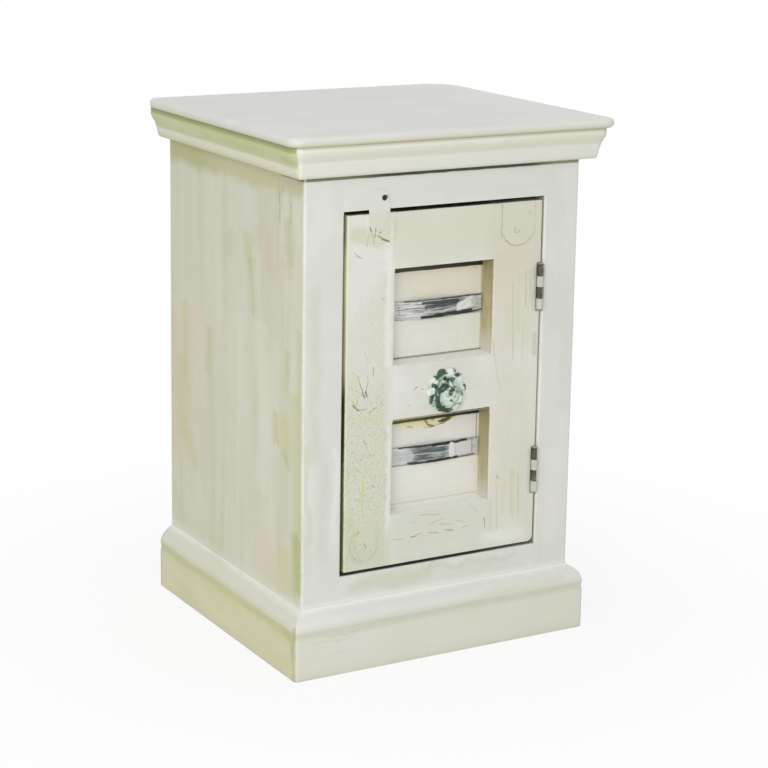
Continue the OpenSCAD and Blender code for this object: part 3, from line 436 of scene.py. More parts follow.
def side_tints(t, at, where, turned, shade):
    """Stains that follow the upright grain, a band of painted shade with a ragged foot under the
    cornice, olive at the back and tan at the front, and a painted highlight along the top of the
    plinth."""
    shade = strokes(t, at, weathered(t, at, shade), 1, 16, (90.0, 90.0, 9.0), side_marks, fade=0.97)
    sideways = put(t, "Math", [turned[0]], operation="ABSOLUTE")
    # painted shade under the cornice, in a band with a ragged foot
    shade = wash(t, shade, under_cornice_shade_height(t, at, where[2]), 0.536, 0.550, within(t, (sideways, 0.5, 0.9, 0.85)),
                 wash(t, "C3BF96", where[1], 0.02, 0.12, 1.0, "B3B57E"))
    # a painted highlight along the top of the plinth
    pale = within(t, (sideways, 0.5, 0.9, 0.5))
    shade = wash(t, shade, where[2], 0.090, 0.076, pale, "E2E2D6")
    return wash(t, shade, where[2], 0.0775, 0.0755, pale, "FFFFFF")


def coat(material, *nodes):
    """Gives CAD nodes that keep their own meshes a finish."""
    for node in nodes:
        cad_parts[node].data.materials.clear()
        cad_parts[node].data.materials.append(material)


# thin cream emulsion rubbed into softwood: matt, with the grain showing through as soft streaks
side_paint = old_paint("cream_wash_on_softwood", "D2D1BC", "D9D8CA", "CCCBB1", "D5D4C2", 2,
                       streak=0.3, patch=0.3, rub=0.3, seed=5, extras=side_tints, relief=0.1, gloss=0.55)
for sign, word in ((-1, "left"), (1, "right")):
    x0, x1 = sorted((sign * 156.5, sign * half_wide))
    board(word + "_side", (x0, post_back, 20), (x1, 145, under), 2, 0.2, "carcass", side_paint,
          "side_" + word, seed=6 + sign, steps=110, rough=0.1)
    # the rear posts keep their rebate for the back boards
    coat(side_paint, "post_rear_" + word)

# ---- back, inner rails, floor, shelf and blocks ----
# Unpainted softwood, brown with age: boards and blocks nailed and glued where only the inside or
# the back of the cupboard shows them.


def softwood(name, along, seed):
    """Bare softwood with its growth lines 12 mm apart drawn out along the grain, fine pores, and
    grey soiling."""
    made, t, at, where = begin(name)
    growth = mottle(t, at, grained(along, 2.2, 85.0), seed, 6.0, 0.6)
    pores = mottle(t, at, grained(along, 30.0, 900.0), 0.0, 3.0)
    wood = wash(t, "BDA278", growth, 0.42, 0.60, 0.9, "A08054")
    wood = wash(t, wood, growth, 0.56, 0.66, 0.5, "84643A")
    wood = wash(t, wood, pores, 0.5, 0.7, 0.4, "7B5E38")
    wood = wash(t, wood, mottle(t, at, 9.0, 0.0, 5.0), 0.4, 0.7, 0.35, "8F816A")
    finish(t, wood, 0.72, pores, 0.4, 0.0002)
    return made


# age has browned it; it is dull and a little open in the grain
aged = softwood("aged_softwood_upright", 2, 3.0)
aged_level = softwood("aged_softwood_level", 0, 5.0)
coat(aged_level, "rail_rear_head", "rail_rear_foot", "floor_board", "shelf", "floor_cleats", "shelf_cleats",
     "glue_blocks", "door_stop")
for k in range(3):
    lo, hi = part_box("back_board_%d" % (k + 1))
    board("back_plank_%d" % (k + 1), np.array(lo) * 1000, np.array(hi) * 1000, 2, 0.8, "carcass",
          aged, "back_board_%d" % (k + 1), seed=20 + k, steps=60)

# ---- top ----
# One glued-up board with a half-round nose on three sides and rounded corners. Hands and lamps
# have rubbed its paint smooth, and it is the cleanest surface on the piece.


def top_tints(t, at, where, turned, shade):
    """Faint grey bands run across the flat near the front, and the paint is paler to the right and
    towards the front; painted shade darkens the nose downwards from just above its middle, most on
    its lower half and its underside."""
    shade = wash(t, shade, mottle(t, at, (3.0, 34.0, 3.0), 6.0, 3.0), 0.48, 0.62, 0.5, "D2D3CD")
    shade = wash(t, shade, where[0], 0.05, 0.20, 0.5, "E4E3DF")
    shade = lay(t, shade, "DDDED8", (where[1], 0.02, -0.12, 0.35))
    # painted shade on the nose from just above its middle down, darker still on its underside
    shade = wash(t, shade, where[2], 0.5975, 0.5925, 0.75, "D0CFBB")
    return wash(t, shade, where[2], 0.5935, 0.5905, 0.9, "C4C2A6")


# off-white satin paint worn by wiping: smooth, a little glossier than the frame
top_paint = old_paint("rubbed_offwhite_paint", "D9D8D4", "DEDEDA", "D4D3CD", "E0E0D8", 0,
                      streak=0.25, patch=0.35, rub=0.3, seed=8, extras=top_tints, relief=0.05, gloss=0.45)
over, nose_r, back_r = 600.0, 5.25, 1.2
# each corner's place, the radius of its curve in plan, and the bearing at which the curve starts
corners = [(-205.5, -185.0, 16.0, 180), (205.5, -185.0, 16.0, 270), (205.5, 185.0, 40.0, 0),
           (-205.5, 185.0, 16.0, 90)]
path, away = [], []
for c, (cx, cy, turn_r, start) in enumerate(corners):
    middle = np.array([cx - math.copysign(turn_r, cx), cy - math.copysign(turn_r, cy)])
    a = np.radians(start + np.linspace(0, 90, 15))
    way_out = np.column_stack([np.cos(a), np.sin(a)])
    curve = middle + turn_r * way_out
    nx, ny, next_r, _ = corners[(c + 1) % 4]
    there = np.array([nx - math.copysign(next_r, nx) * (c in (0, 2)), ny - math.copysign(next_r, ny) * (c in (1, 3))])
    straight = curve[-1] + (there - curve[-1]) * np.linspace(0, 1, 32)[1:-1, None]
    path += [curve, straight]
    away += [way_out, np.tile(way_out[-1], (len(straight), 1))]
path, away = np.vstack(path), np.vstack(away)
# the nose is round on the front and the sides, and the back edge is only eased
r = back_r + (nose_r - back_r) * np.interp(away[:, 1], [0.1, 0.95], [1.0, 0.0])
dip = 0.2 * wander(np.arange(len(path)) * 8.0, 77, 160)


def loop_at(points, height):
    """The outline's points at one height."""
    return np.column_stack([points, np.broadcast_to(height, len(points))])


rows = [loop_at(path * share, over) for share in (0.03, 0.3, 0.6, 0.85)] + [loop_at(path - away * 8.0, over)]
for a in np.radians(np.linspace(90, -90, 13)):
    ring = path - away * (r * (1 - math.cos(a)) + dip)[:, None]
    rows.append(loop_at(ring, (over - r if a > 0 else under + r) + r * math.sin(a)))
rows += [loop_at(path - away * 14.0, under), loop_at(path * 0.03, under)]
rub = np.array([0.0] * 5 + [0.2] + [0.5] * 9 + [0.2] * 3 + [0.0, 0.0])
shape("top", [np.array(rows)], "carcass", top_paint, "top_board", np.tile(rub[:, None], (1, len(path))))

# ---- cornice and plinth ----
# Softwood mouldings run on a moulding plane, mitred round the front corners and pinned to the
# carcass. The paint lies thin on their arrises, old olive paint stays in the hollows, and coats
# of it have rounded the corner over the plinth. Their bands of colour by height also paint light:
# highlights on the rounds, and shade in the hollows and under the overhangs.
back_y = 184.9


def moulding(name, profile, side, material, stands_for, rub, seed):
    """A moulding's profile of (projection, height) points carried along one face. At a front
    corner each point turns about a centre that lies 10.5 out from the carcass, by an eighth of
    a turn to the mitre, and a point nearer the carcass than that keeps a small arc of 0.3."""
    o, z = profile[:, 0], profile[:, 1]
    ease = np.maximum(o - 10.5, 0.3)
    mid = o - ease
    sweep = np.radians(np.linspace(45, 0, 7))

    def corner(way, a):
        return way * (half_wide + mid + ease * math.sin(a)), face_y - mid - ease * math.cos(a), z

    if side == 0:
        runs = [corner(-1, a) for a in sweep]
        for x in np.linspace(-half_wide, half_wide, 90)[1:-1]:
            dip = 0.25 * wander(x + z * 0.5, seed, 120)
            runs.append((np.full(len(o), x), face_y - o + dip * (o > 1), z))
        runs += [corner(1, a) for a in sweep[::-1]]
    else:
        runs = [corner(side, np.pi / 2 - a) for a in sweep]
        for y in np.linspace(face_y, back_y, 90)[1:]:
            dip = 0.25 * wander(y + z * 0.5, seed, 120)
            runs.append((side * (half_wide + o - dip * (o > 1)), np.full(len(o), y), z))
    return shape(name, [np.stack([np.column_stack(run) for run in runs])], "carcass", material,
                 stands_for, np.tile(rub, (len(runs), 1)))


def banded_paint_and_light(name, bands, pale, deep, along, ragged, seed, items=()):
    """Old paint whose colour changes with height through bands of (height, tint), with edges that
    a noise moves by ragged millimetres, and stains on the face or the side. The bands hold painted
    highlights and painted shade as well as the paint's own colour."""
    def bandings(t, at, where, turned, shade):
        drift = put(t, "Math", [mottle(t, at, (10.0, 10.0, 30.0), seed), 0.5], operation="SUBTRACT")
        height = put(t, "Math", [drift, ragged * 0.004, where[2]], operation="MULTIPLY_ADD")
        low, high = bands[0][0], bands[-1][0]
        tinted = put(t, "ValToRGB", [put(t, "MapRange", [height, low * 0.001, high * 0.001, 0.0, 1.0])])
        stops = tinted.node.color_ramp.elements
        for z, tint in bands[1:-1]:
            stops.new((z - low) / (high - low)).color = colour(tint)
        stops[0].color, stops[-1].color = colour(bands[0][1]), colour(bands[-1][1])
        shade = put(t, "Mix", {0: 0.78, 6: shade, 7: tinted}, 2, data_type="RGBA")
        return strokes(t, at, shade, along, 7, 30.0, items, fade=0.95) if items else shade
    return old_paint(name, bands[len(bands) // 2][1], pale, deep, pale, along, streak=0.5, patch=0.4,
                     rub=0.5, seed=seed, extras=bandings)


ogee = [(24.5 - 6.5 * (1 - math.cos(math.pi * k / 12)) / 2, 583.0 - 16.0 * k / 12) for k in range(13)]
cornice = np.array([(0.2, 589.5), (12, 589.5), (24.0, 589.5), (24.5, 588.9), (24.5, 585)] + ogee
                   + [(17.2, 565.5), (16.4, 562), (15.6, 558.5), (14.9, 556.4), (14.2, 555), (13.0, 554.2),
                      (11.5, 554), (6, 554), (0.2, 554), (0.2, 571)])
cornice_rub = np.array([0, 0, 0.2, 0.3, 0.2, 0.3] + [0] * 11 + [0.4, 0.8, 0.3, 0.3, 0.6, 0.9, 0.7, 0.2, 0, 0, 0])
# thin off-white paint over the older olive coat, which shows in the hollows of the side most; the
# dark bands at the cornice's foot and under the top's nose are painted shade, deepest on the side
front_cornice_paint_and_light = banded_paint_and_light("offwhite_paint_and_painted_light_on_cornice", [
    (553.8, "A9A588"), (555.4, "D2D2C4"), (559, "DCDCD3"), (565.5, "DFDFD6"), (567.5, "DEDFD5"),
    (571, "E0E1D6"), (573.5, "D4D2C2"), (579, "D6D5C5"), (582.5, "DBDBCE"), (585, "E6E7DD"),
    (587.5, "CBCAB6"), (589.5, "B3B29A")], "E4E4DE", "C9C8B0", 0, 0.5, 11)
side_cornice_paint_and_light = banded_paint_and_light("olive_wash_and_painted_light_on_cornice", [
    (553.8, "A5A078"), (555.4, "C9C8AC"), (560, "DAD9C8"), (565, "E2E1CE"), (568, "C4C59F"),
    (571, "BEC091"), (576, "BEC18F"), (582, "C4C694"), (583.5, "ADAF78"), (585.5, "959766"),
    (589.5, "85885A")], "D2D3B6", "AFB17F", 1, 0.6, 12,
    [(150, 578, 60, 576, 8, 0.4, "D3CDA8"), (-150, 572, -175, 571, 7, 0.5, "B0B080")])
for k, (word, side) in enumerate((("front", 0), ("left", -1), ("right", 1))):
    moulding(word + "_cornice", cornice, side, side_cornice_paint_and_light if side else front_cornice_paint_and_light,
             "cornice_" + word, cornice_rub, 31 + k)

# a rounded nose between two flat faces: an arc of 60 degrees over a hollow, from 56 up to 75
chord, chord_lean = math.hypot(15.5, 19), math.atan2(15.5, 19)
swing = chord_lean - math.pi / 6 + math.pi / 3 * np.arange(15) / 14
bull = np.column_stack([15.5 + chord * (np.cos(swing) - math.cos(swing[0])),
                        56 + chord * (np.sin(swing) - math.sin(swing[0]))])
dips = np.arange(11) / 10
hollow = np.column_stack([15.5 - 1.2 * np.sin(math.pi * dips), 45 + 11 * dips])
plinth = np.vstack([[(0.2, 0.2), (14.7, 0.2), (15.3, 0.8), (15.4, 3), (15.4, 20), (15.5, 38), (15.5, 43.6)],
                    hollow, bull[1:-1], [(0.7, 74.85), (0.35, 75.3), (0.12, 75.9), (0.02, 76.6)]])
plinth_rub = np.array([0, 0.6, 0.9, 0.3, 0, 0, 0.4, 0.5] + [0] * 9 + [0.5, 0.3, 0.2] + [0] * 15)
# the bands paint a highlight on the round from 63 up, and painted shade on its lower part and in the hollow from 45
# to 56
front_plinth_paint_and_light = banded_paint_and_light("offwhite_paint_and_painted_light_on_plinth", [
    (0, "C6C4AC"), (2.5, "D3D2C2"), (14, "D9D8CC"), (36, "DAD9CE"), (45, "D7D7CA"), (49, "CCCCBA"),
    (54, "CACAB8"), (58, "D7D7CC"), (63, "E1E2DD"), (71, "E2E3DF"), (75, "F4F4EF")], "E4E4DE", "D0CEBC", 0, 1.6, 13,
    [(-20, 30, 60, 34, 14, 0.5, "DAD8C2"), (60, 60, 160, 62, 10, 0.5, "D3D4BC"),
     (130, 15, 170, 40, 16, 0.5, "DCDAC4"), (-168, 41, -120, 43, 2.5, 0.6, "CCCBBB"),
     (-168, 33, -138, 36, 1.6, 0.5, "CBCABA"), (-160, 24, -122, 28, 2.2, 0.5, "CECDBF"),
     (-150, 47, -90, 49, 3, 0.5, "C6C5AF"), (-160, 30, -120, 20, 20, 0.4, "D6D5CC")])
side_plinth_paint_and_light = banded_paint_and_light("olive_wash_and_painted_light_on_plinth", [
    (0, "C7C39D"), (3, "D3CFAC"), (15, "D7D3B3"), (34, "D6D3AE"), (43, "D0CFA4"), (48, "C1C393"),
    (54, "C5C79C"), (58, "D5D6C0"), (63, "DDDED4"), (71, "E0E1D8"), (75, "F4F4EF")], "E1E0CC", "C6C79C", 1, 2.2, 14,
    [(-166, 62, -166, 2, 2.6, 0.75, "AEAE84"), (100, 38, 30, 42, 9, 0.55, "D0D2A8"),
     (130, 20, 110, 16, 12, 0.4, "CBC8A2"), (-60, 36, -90, 38, 12, 0.5, "DAD0B6"),
     (-120, 14, -165, 20, 14, 0.5, "CBCC9D"), (-150, 50, -168, 44, 7, 0.7, "BBBB87"),
     (184, 45, 160, 30, 12, 0.4, "D3D3BC"), (10, 50, -30, 49, 6, 0.4, "CFCC9C"),
     (-20, 20, 20, 14, 12, 0.4, "D9D7B4")])
for k, (word, side) in enumerate((("front", 0), ("left", -1), ("right", 1))):
    moulding(word + "_plinth", plinth, side, side_plinth_paint_and_light if side else front_plinth_paint_and_light,
             "plinth_" + word, plinth_rub, 34 + k)

# ---- door ----
# An old thick door cut down and reused: heavy stiles and rails tenoned together, with two deep
# fields. Many coats of cream and white have crazed and chipped, and olive paint shows in the
# reveals.


def reveal_tints(t, at, where):
    """The stiles' faces towards the fields: olive and tan, paler where light reaches the foot of
    each field, browner with painted shade under its head, and darker along its front arris."""
    reveal = wash(t, "AFA77D", mottle(t, at, (20.0, 160.0, 14.0), 2.0), 0.45, 0.65, 0.7, "C6C09A")
    for foot in (0.339, 0.1685):
        reveal = lay(t, reveal, "D3CFC6", (where[2], foot + 0.030, foot + 0.004, 0.9),
                     (where[2], foot - 0.02, foot - 0.019999))
    for head in (0.4465, 0.276):
        reveal = lay(t, reveal, "8E8258", (where[2], head - 0.05, head, 0.6),
                     (where[2], head + 0.002, head + 0.001999))
    return wash(t, reveal, where[1], -0.1500, -0.1530, 0.3, "9A9260")


def door_wear_and_light(tints, items, specks, cracks):
    """Door paint: tints of (low, high, share, tint) laid on by height, crazing, specks of olive
    low down, the listed strokes on the face, and painted light and shade on the faces that look
    into the fields and gaps."""
    def worn(t, at, where, turned, shade):
        front = within(t, (turned[1], -0.5, -0.8))
        for low, high, share, tint in tints:
            shade = wash(t, shade, where[2], low, high, share, tint)
        # crazed paint: cells about 6 mm across with hairline edges, bent by a slow noise
        bent = put(t, "VectorMath", {0: mottle(t, at, 120.0, 0.0, 2.0, out=1), "Scale": 0.006}, operation="SCALE")
        bent = put(t, "VectorMath", [at, bent], operation="ADD")
        cells = put(t, "TexVoronoi", {"Vector": bent, "Scale": 170.0}, feature="DISTANCE_TO_EDGE")
        open_paint = put(t, "Math", [within(t, (mottle(t, at, 22.0, 9.0), 0.46, 0.64, cracks)),
                                     put(t, "MapRange", [where[2], 0.43, 0.37, 0.1, 1.0])], operation="MULTIPLY")
        shade = wash(t, shade, cells, 0.06, 0.0, open_paint, "B3AF8C")
        # flecks about 1 mm by 3 mm, thickest low on the free stile
        flecks = mottle(t, at, (700.0, 700.0, 330.0), 3.0, 4.0, 0.65)
        low_down = put(t, "Math", [within(t, (where[2], 0.33, 0.26, specks)),
                                   put(t, "MapRange", [where[2], 0.145, 0.185, 0.25, 1.0])], operation="MULTIPLY")
        shade = wash(t, shade, flecks, 0.53, 0.68, low_down, "9CA17C")
        shade = strokes(t, at, shade, 0, 6, 60.0, door_patches, fade=0.95, where=front)
        shade = strokes(t, at, shade, 0, 1.6, 200.0, items, where=front)
        # the middle rail's lower arris is dark with grime and painted shade, golden at its left
        shade = lay(t, shade, wash(t, "8F864C", where[0], -0.005, 0.045, 1.0, "2A260C"),
                    (where[2], 0.2784, 0.2777), (where[2], 0.270, 0.270001),
                    (put(t, "Math", [where[0]], operation="ABSOLUTE"), 0.062501, 0.0625))
        shade = lay(t, shade, reveal_tints(t, at, where), (turned[0], -0.5, -0.8), (where[0], 0.0, 0.000001))
        # the closing edge, seen only in the gap, is olive paint under painted shade: from its foot up
        # olive, nearly black, tan, pale green and grey
        edge = "B0B298"
        for low, high, tint in ((0.460, 0.485, "D6DCA6"), (0.385, 0.425, "C8BC98"), (0.300, 0.345, "47482A"),
                                (0.215, 0.255, "7A8252")):
            edge = wash(t, tint, where[2], low, high, 1.0, edge)
        shade = lay(t, shade, edge, (turned[0], -0.75, -0.95), (where[0], -0.118, -0.118001))
        # faces that look up get painted light inside the fields, and painted shade in the gap over the door
        gap = wash(t, "313120", where[0], 0.03, 0.11, 1.0, "7C7E70")
        shade = wash(t, shade, turned[2], 0.7, 0.95, 0.95, wash(t, "FFFFFC", where[2], 0.5080, 0.5085, 1.0, gap))
        # faces that look down carry painted shade: the shadow line under each rail
        return wash(t, shade, turned[2], -0.35, -0.8, 0.92, "35340F")
    return worn


# patches of (x, z) on the face that run over the joints, so every door piece has them
door_patches = [
    (-62.5, 505, -62.5, 455, 9, 0.7, "D6D5C6"), (-62.5, 335, -62.5, 282, 16, 0.8, "E0DEDA"),
    (-66.5, 272, -66.5, 150, 5.5, 0.85, "E2E2DB"), (-66, 150, -60, 114, 12, 0.7, "D6D8CB"),
    (63.5, 505, 63.5, 455, 17, 0.8, "D3D1BE"), (63.5, 335, 63.5, 282, 13, 0.7, "DCDAD1"),
    (-70, 465, -70, 342, 8, 0.7, "E8E6E1"), (63.5, 165, 63.5, 114, 15, 0.7, "D5D4C6"),
    (62, 124, 110, 122, 13, 0.75, "E0E3DC"), (-30, 120, 30, 122, 10, 0.3, "DADBD0"),
    (-64, 505, -63, 482, 4, 0.45, "CBC6AA")]


def rim_marks(cx, cz, r, step, tint, places):
    """Short strokes along a plate's round end: a chord of the circle about (cx, cz) from each
    bearing on, with its strength."""
    return [(cx + r * math.cos(a), cz + r * math.sin(a), cx + r * math.cos(a + step), cz + r * math.sin(a + step),
             0.75, strength, tint) for a, strength in places]


# chips, cracks and stains on the free stile, the hinge stile and the rails, on the same plane
free_marks = [
    (-95, 495.5, -93.7, 491, 1.0, 0.85, "66663A"), (-87.6, 494, -88.7, 484, 0.9, 0.75, "9A8A5A"),
    (-97.3, 486, -98.3, 475, 0.8, 0.7, "A0906A"), (-91, 483, -89.7, 474.4, 0.7, 0.6, "B0A088"),
    (-85, 485, -71.2, 477.3, 1.6, 0.7, "9A9568"), (-80, 481, -71.2, 477.8, 1.3, 0.8, "6E6A3C"),
    (-93.5, 490, -91, 483, 0.7, 0.6, "A39468"), (-98, 512, -98, 478, 0.7, 0.5, "EAE8DE"),
    (-71.9, 513, -58.8, 477, 0.7, 0.45, "B9B598"), (-66, 506, -60, 480, 5, 0.4, "D8CCB8"),
    (-114, 469, -109, 465, 0.8, 0.55, "A9A292"), (-110.4, 465, -104.3, 461.4, 0.9, 0.65, "A09A88"),
    (-78.8, 415, -78, 414, 1.3, 0.5, "9C9C90"), (-80.8, 390, -80, 390, 1.1, 0.4, "B0ACA0"),
    (-110, 488, -84, 481, 13, 0.5, "C6C7A2"), (-112, 328, -112, 300, 6, 0.45, "D2D5AE"),
    (-106, 283, -84, 281, 8, 0.35, "D2CFA2"), (-107.8, 333, -104.6, 323, 0.7, 0.75, "8E9270"),
    (-104.6, 323, -100.7, 313, 0.8, 0.8, "7C7E54"), (-100.7, 313, -98.7, 307.2, 1.1, 0.85, "6A6634"),
    (-88.1, 340.7, -88.3, 331, 0.8, 0.8, "84866E"), (-95.4, 331, -94.7, 325.8, 0.8, 0.5, "B8A890"),
    (-94.7, 325.8, -97, 313.7, 0.7, 0.7, "94926A"), (-97, 313.7, -96, 308, 1.2, 0.85, "6A6634"),
    (-112, 316.6, -104.4, 314, 0.7, 0.5, "B0B28A"), (-104.4, 311, -99.4, 309.5, 0.7, 0.6, "9C9868"),
    (-87.2, 328, -74.6, 319, 0.7, 0.4, "BDBCA8"), (-74.6, 319, -79.5, 312, 0.7, 0.4, "BDBCA8"),
    (-112.8, 305, -112.4, 300, 1.0, 0.6, "A5A868"), (-112.4, 300, -106.6, 294, 1.6, 0.8, "84854A"),
    (-108, 305, -106.5, 299, 0.8, 0.55, "A2A47E"), (-106.6, 294, -97.9, 293.6, 0.9, 0.7, "8C8E74"),
    (-97.9, 293.6, -94.8, 295.5, 0.8, 0.6, "A0A090"), (-92.8, 289.6, -83.6, 295.3, 0.9, 0.65, "98988A"),
    (-79.2, 298, -75.5, 302.2, 0.9, 0.5, "A8A89C"), (-98.9, 359, -95, 347, 0.8, 0.45, "B5B090"),
    (-114.7, 339, -111, 333, 0.7, 0.45, "B5B090"), (-99, 212, -100, 192, 2.2, 0.6, "C3CC78"),
    (-100, 192, -98.5, 173, 1.8, 0.5, "BFC988"), (-98.6, 259, -96, 254, 1.0, 0.6, "9C8468"),
    (-87.7, 207, -85, 204, 1.2, 0.6, "8F9168"), (-114.8, 171, -108, 153, 6, 0.5, "CACB9C"),
    (-84.5, 456, -70, 452, 0.8, 0.3, "C5C2AE"), (-97, 141, -95.8, 138, 0.9, 0.7, "7F7D50"),
    (-111, 140, -103, 124, 0.9, 0.5, "B9BB90"), (-113, 152, -111, 140, 0.8, 0.5, "BDBF98"),
    (-82, 150, -84, 130, 0.6, 0.35, "C3C5A2"),
    *rim_marks(-97.5, 139, 17.6, 0.5, "A3A67C", (
        (2.6, 0.55), (3.1, 0.6), (3.6, 0.6), (4.1, 0.5), (4.9, 0.3), (5.5, 0.35), (0.2, 0.3), (1.9, 0.4)))]
hinge_marks = [
    (65.1, 356, 66.9, 341, 0.8, 0.6, "B0AA8C"), (66.9, 341, 76.3, 296, 0.7, 0.55, "B5AF92"),
    (66, 452, 78, 450, 0.6, 0.4, "BDB9A2"), (89.4, 445, 90, 418, 0.8, 0.4, "C2C2A8"),
    (90, 418, 92.4, 330, 1.0, 0.6, "B2B498"), (96.6, 425, 98.1, 363, 3.6, 0.45, "CBCCAA"),
    (106.5, 431, 107.7, 390, 1.4, 0.6, "BABC8E"), (111.9, 431, 113.1, 396, 1.0, 0.55, "BDBF98"),
    (118.8, 424, 120.3, 384, 1.5, 0.45, "C2C3AA"), (121, 355, 121, 334, 4.5, 0.5, "B8BCA4"),
    (84, 422, 84.7, 364, 7, 0.35, "D3D1B2"), (104.9, 370, 104.7, 327, 1.1, 0.45, "C4C6B0"),
    (75.5, 195, 77, 193, 2.0, 0.7, "BFA873"), (95.6, 198, 96.8, 147, 4.2, 0.5, "C8CBA4"),
    (86.5, 192, 84.5, 150, 3.5, 0.4, "CDCFB4"), (104, 192, 105.7, 146, 2.0, 0.5, "C2C48E"),
    (80, 144, 86, 136, 0.8, 0.4, "C5C3AC"), (86, 136, 96, 141, 0.8, 0.4, "C5C3AC"),
    (75, 185, 77, 131, 1.4, 0.5, "C0C69C"), (66.9, 168, 68, 132, 2.0, 0.4, "C8CA9C"),
    (76, 452, 74, 414, 13, 0.45, "D9CDB9"), (90, 481, 90.4, 475, 1.2, 0.8, "84826A"),
    (90.4, 475, 94, 474, 1.0, 0.6, "A3A08A"), (118, 300, 117, 240, 4, 0.35, "DCD9CC"),
    (98, 330, 99, 220, 9, 0.35, "DBDAD0"), (94.5, 502, 94.5, 484, 19, 0.5, "D0D3C4"),
    (72.8, 508, 72.8, 470, 0.7, 0.6, "A4A890"),
    *rim_marks(94.5, 481.5, 21.6, 0.4, "A8A48C", (
        (3.5, 0.5), (3.9, 0.75), (4.3, 0.6), (4.7, 0.65), (5.1, 0.5), (5.5, 0.4)))]
rail_marks = [
    (-61, 140.4, -48, 139, 0.8, 0.7, "B5B27A"), (-37, 139.6, -31, 140, 1.1, 0.8, "8A8140"),
    (-31, 140, -23.7, 142.3, 0.8, 0.7, "A8A060"), (-14.6, 141.5, -1.4, 139, 0.8, 0.75, "A8A066"),
    (7.8, 141, 18.4, 139.5, 1.1, 0.75, "8E8A50"), (31.6, 141, 38, 142.5, 1.0, 0.6, "B5AE80"),
    (59.4, 149, 61, 136.7, 0.7, 0.75, "77744C"), (-25.5, 163.6, 0.7, 161, 0.9, 0.6, "ABAC88"),
    (2, 150, 16, 146, 1.9, 0.5, "BDBD90"), (22, 150, 34, 147, 1.6, 0.5, "BFBF98"),
    (-14, 151, 4, 155, 0.9, 0.5, "B3B48E"), (40, 167, 49, 158, 0.8, 0.45, "B4B69E"),
    (-38, 157, -30, 156, 0.8, 0.35, "B5B496"), (-36, 309, -33, 312, 1.2, 0.7, "7C8260"),
    (-26.2, 309, -25.5, 309, 1.0, 0.6, "7C8260"), (-42.4, 292.6, -42, 291, 1.4, 0.5, "B5B58E"),
    (-40, 352, 20, 350, 1.0, 0.25, "CDCBBC")]
# many coats of oil paint, crazed and chipped: satin, with hairline edges that hold grime; the
# paler worn tints also paint highlights on the arrises
door_args = dict(streak=0.3, patch=0.5, rub=0.55, gloss=0.5)
free_paint = old_paint("crazed_cream_paint_free_stile", "DAD8CE", "E2E0DA", "D4D1C0", "DEDDBA", 2, seed=21,
                       extras=door_wear_and_light([(0.36, 0.25, 0.6, "CCCFB9"), (0.20, 0.13, 0.6, "C9CDB4")], free_marks,
                                        0.75, 0.6), **door_args)
hung_paint = old_paint("crazed_cream_paint_hinge_stile", "DAD8CB", "DFDDD6", "D0CDB8", "E0DECF", 2, seed=22,
                       extras=door_wear_and_light([(0.36, 0.44, 0.55, "CECAB5")], hinge_marks, 0.0, 0.25), **door_args)
cross_paint = old_paint("crazed_cream_paint_rails", "D9D9CF", "E1E1DC", "D3D3C4", "E2E1D6", 0, seed=23,
                        extras=door_wear_and_light([(0.44, 0.47, 0.6, "D2D2BE"), (0.18, 0.165, 0.55, "CFD1C2")],
                                         rail_marks, 0.0, 0.3), **door_args)


def beside_fields(edge, plain):
    """An arris's radius: edge beside the two sunk fields, plain where a rail joins the stile."""
    return lambda z: np.interp(z, [167.5, 169.5, 275, 277, 338, 340, 445.5, 447.5],
                               [plain, edge, edge, plain, plain, edge, edge, plain])


# the door's edges and the fields', its foot, head and back, and the hinges' axis and heights
door_left, field_left, field_right, door_right = -122.5, -62.5, 63.5, 126.5
door_low, door_high, door_back = 110.5, 509.5, -116.0
axis_x, axis_y, knuckle_r = 124.8, -156.0, 4.1
hinge_heights = (("upper", 410.5), ("lower", 196.5))
# the hinge stile's outer front arris is scooped out round each hinge's knuckles, 28 up and down
notches = [(1, z - 28, z + 28, axis_x, axis_y, knuckle_r + 0.65) for word, z in hinge_heights]
notch_rows = [z + d for word, z in hinge_heights for d in (-28.05, -27.95, 27.95, 28.05)]
board("free_stile", (door_left, face_y, door_low), (field_left, door_back, door_high), 2,
      [2.0, beside_fields(1.5, 0.1), 1.0, 1.2], "door", free_paint, "door_stile_free",
      seed=41, steps=150, ends=1.4)
board("hinge_stile", (field_right, face_y, door_low), (door_right, door_back, door_high), 2,
      [beside_fields(1.5, 0.1), 1.6, 1.2, 1.0], "door", hung_paint, "door_stile_hinge",
      seed=42, steps=150, ends=1.4, notches=notches, extra=notch_rows, foot_round=9.0)
for name, z0, z1, radii, stands in (
        ("door_top_rail", 446.5, door_high, [1.2, 1.0, 1.0, 1.4], "door_rail_top"),
        ("door_middle_rail", 276, 339, [1.2, 1.0, 1.0, 1.8], "door_rail_middle"),
        ("door_bottom_rail", 138.5, 168.5, [0.12, 0.12, 1.0, 1.8], "door_rail_bottom"),
        ("door_foot", door_low, 138.5, [1.4, 1.2, 0.12, 0.2], "door_foot_board")):
    board(name, (field_left, face_y, z0), (field_right, door_back, z1), 0, radii, "door",
          cross_paint, stands, seed=int(z0), rough=0.15, ends=0.04)

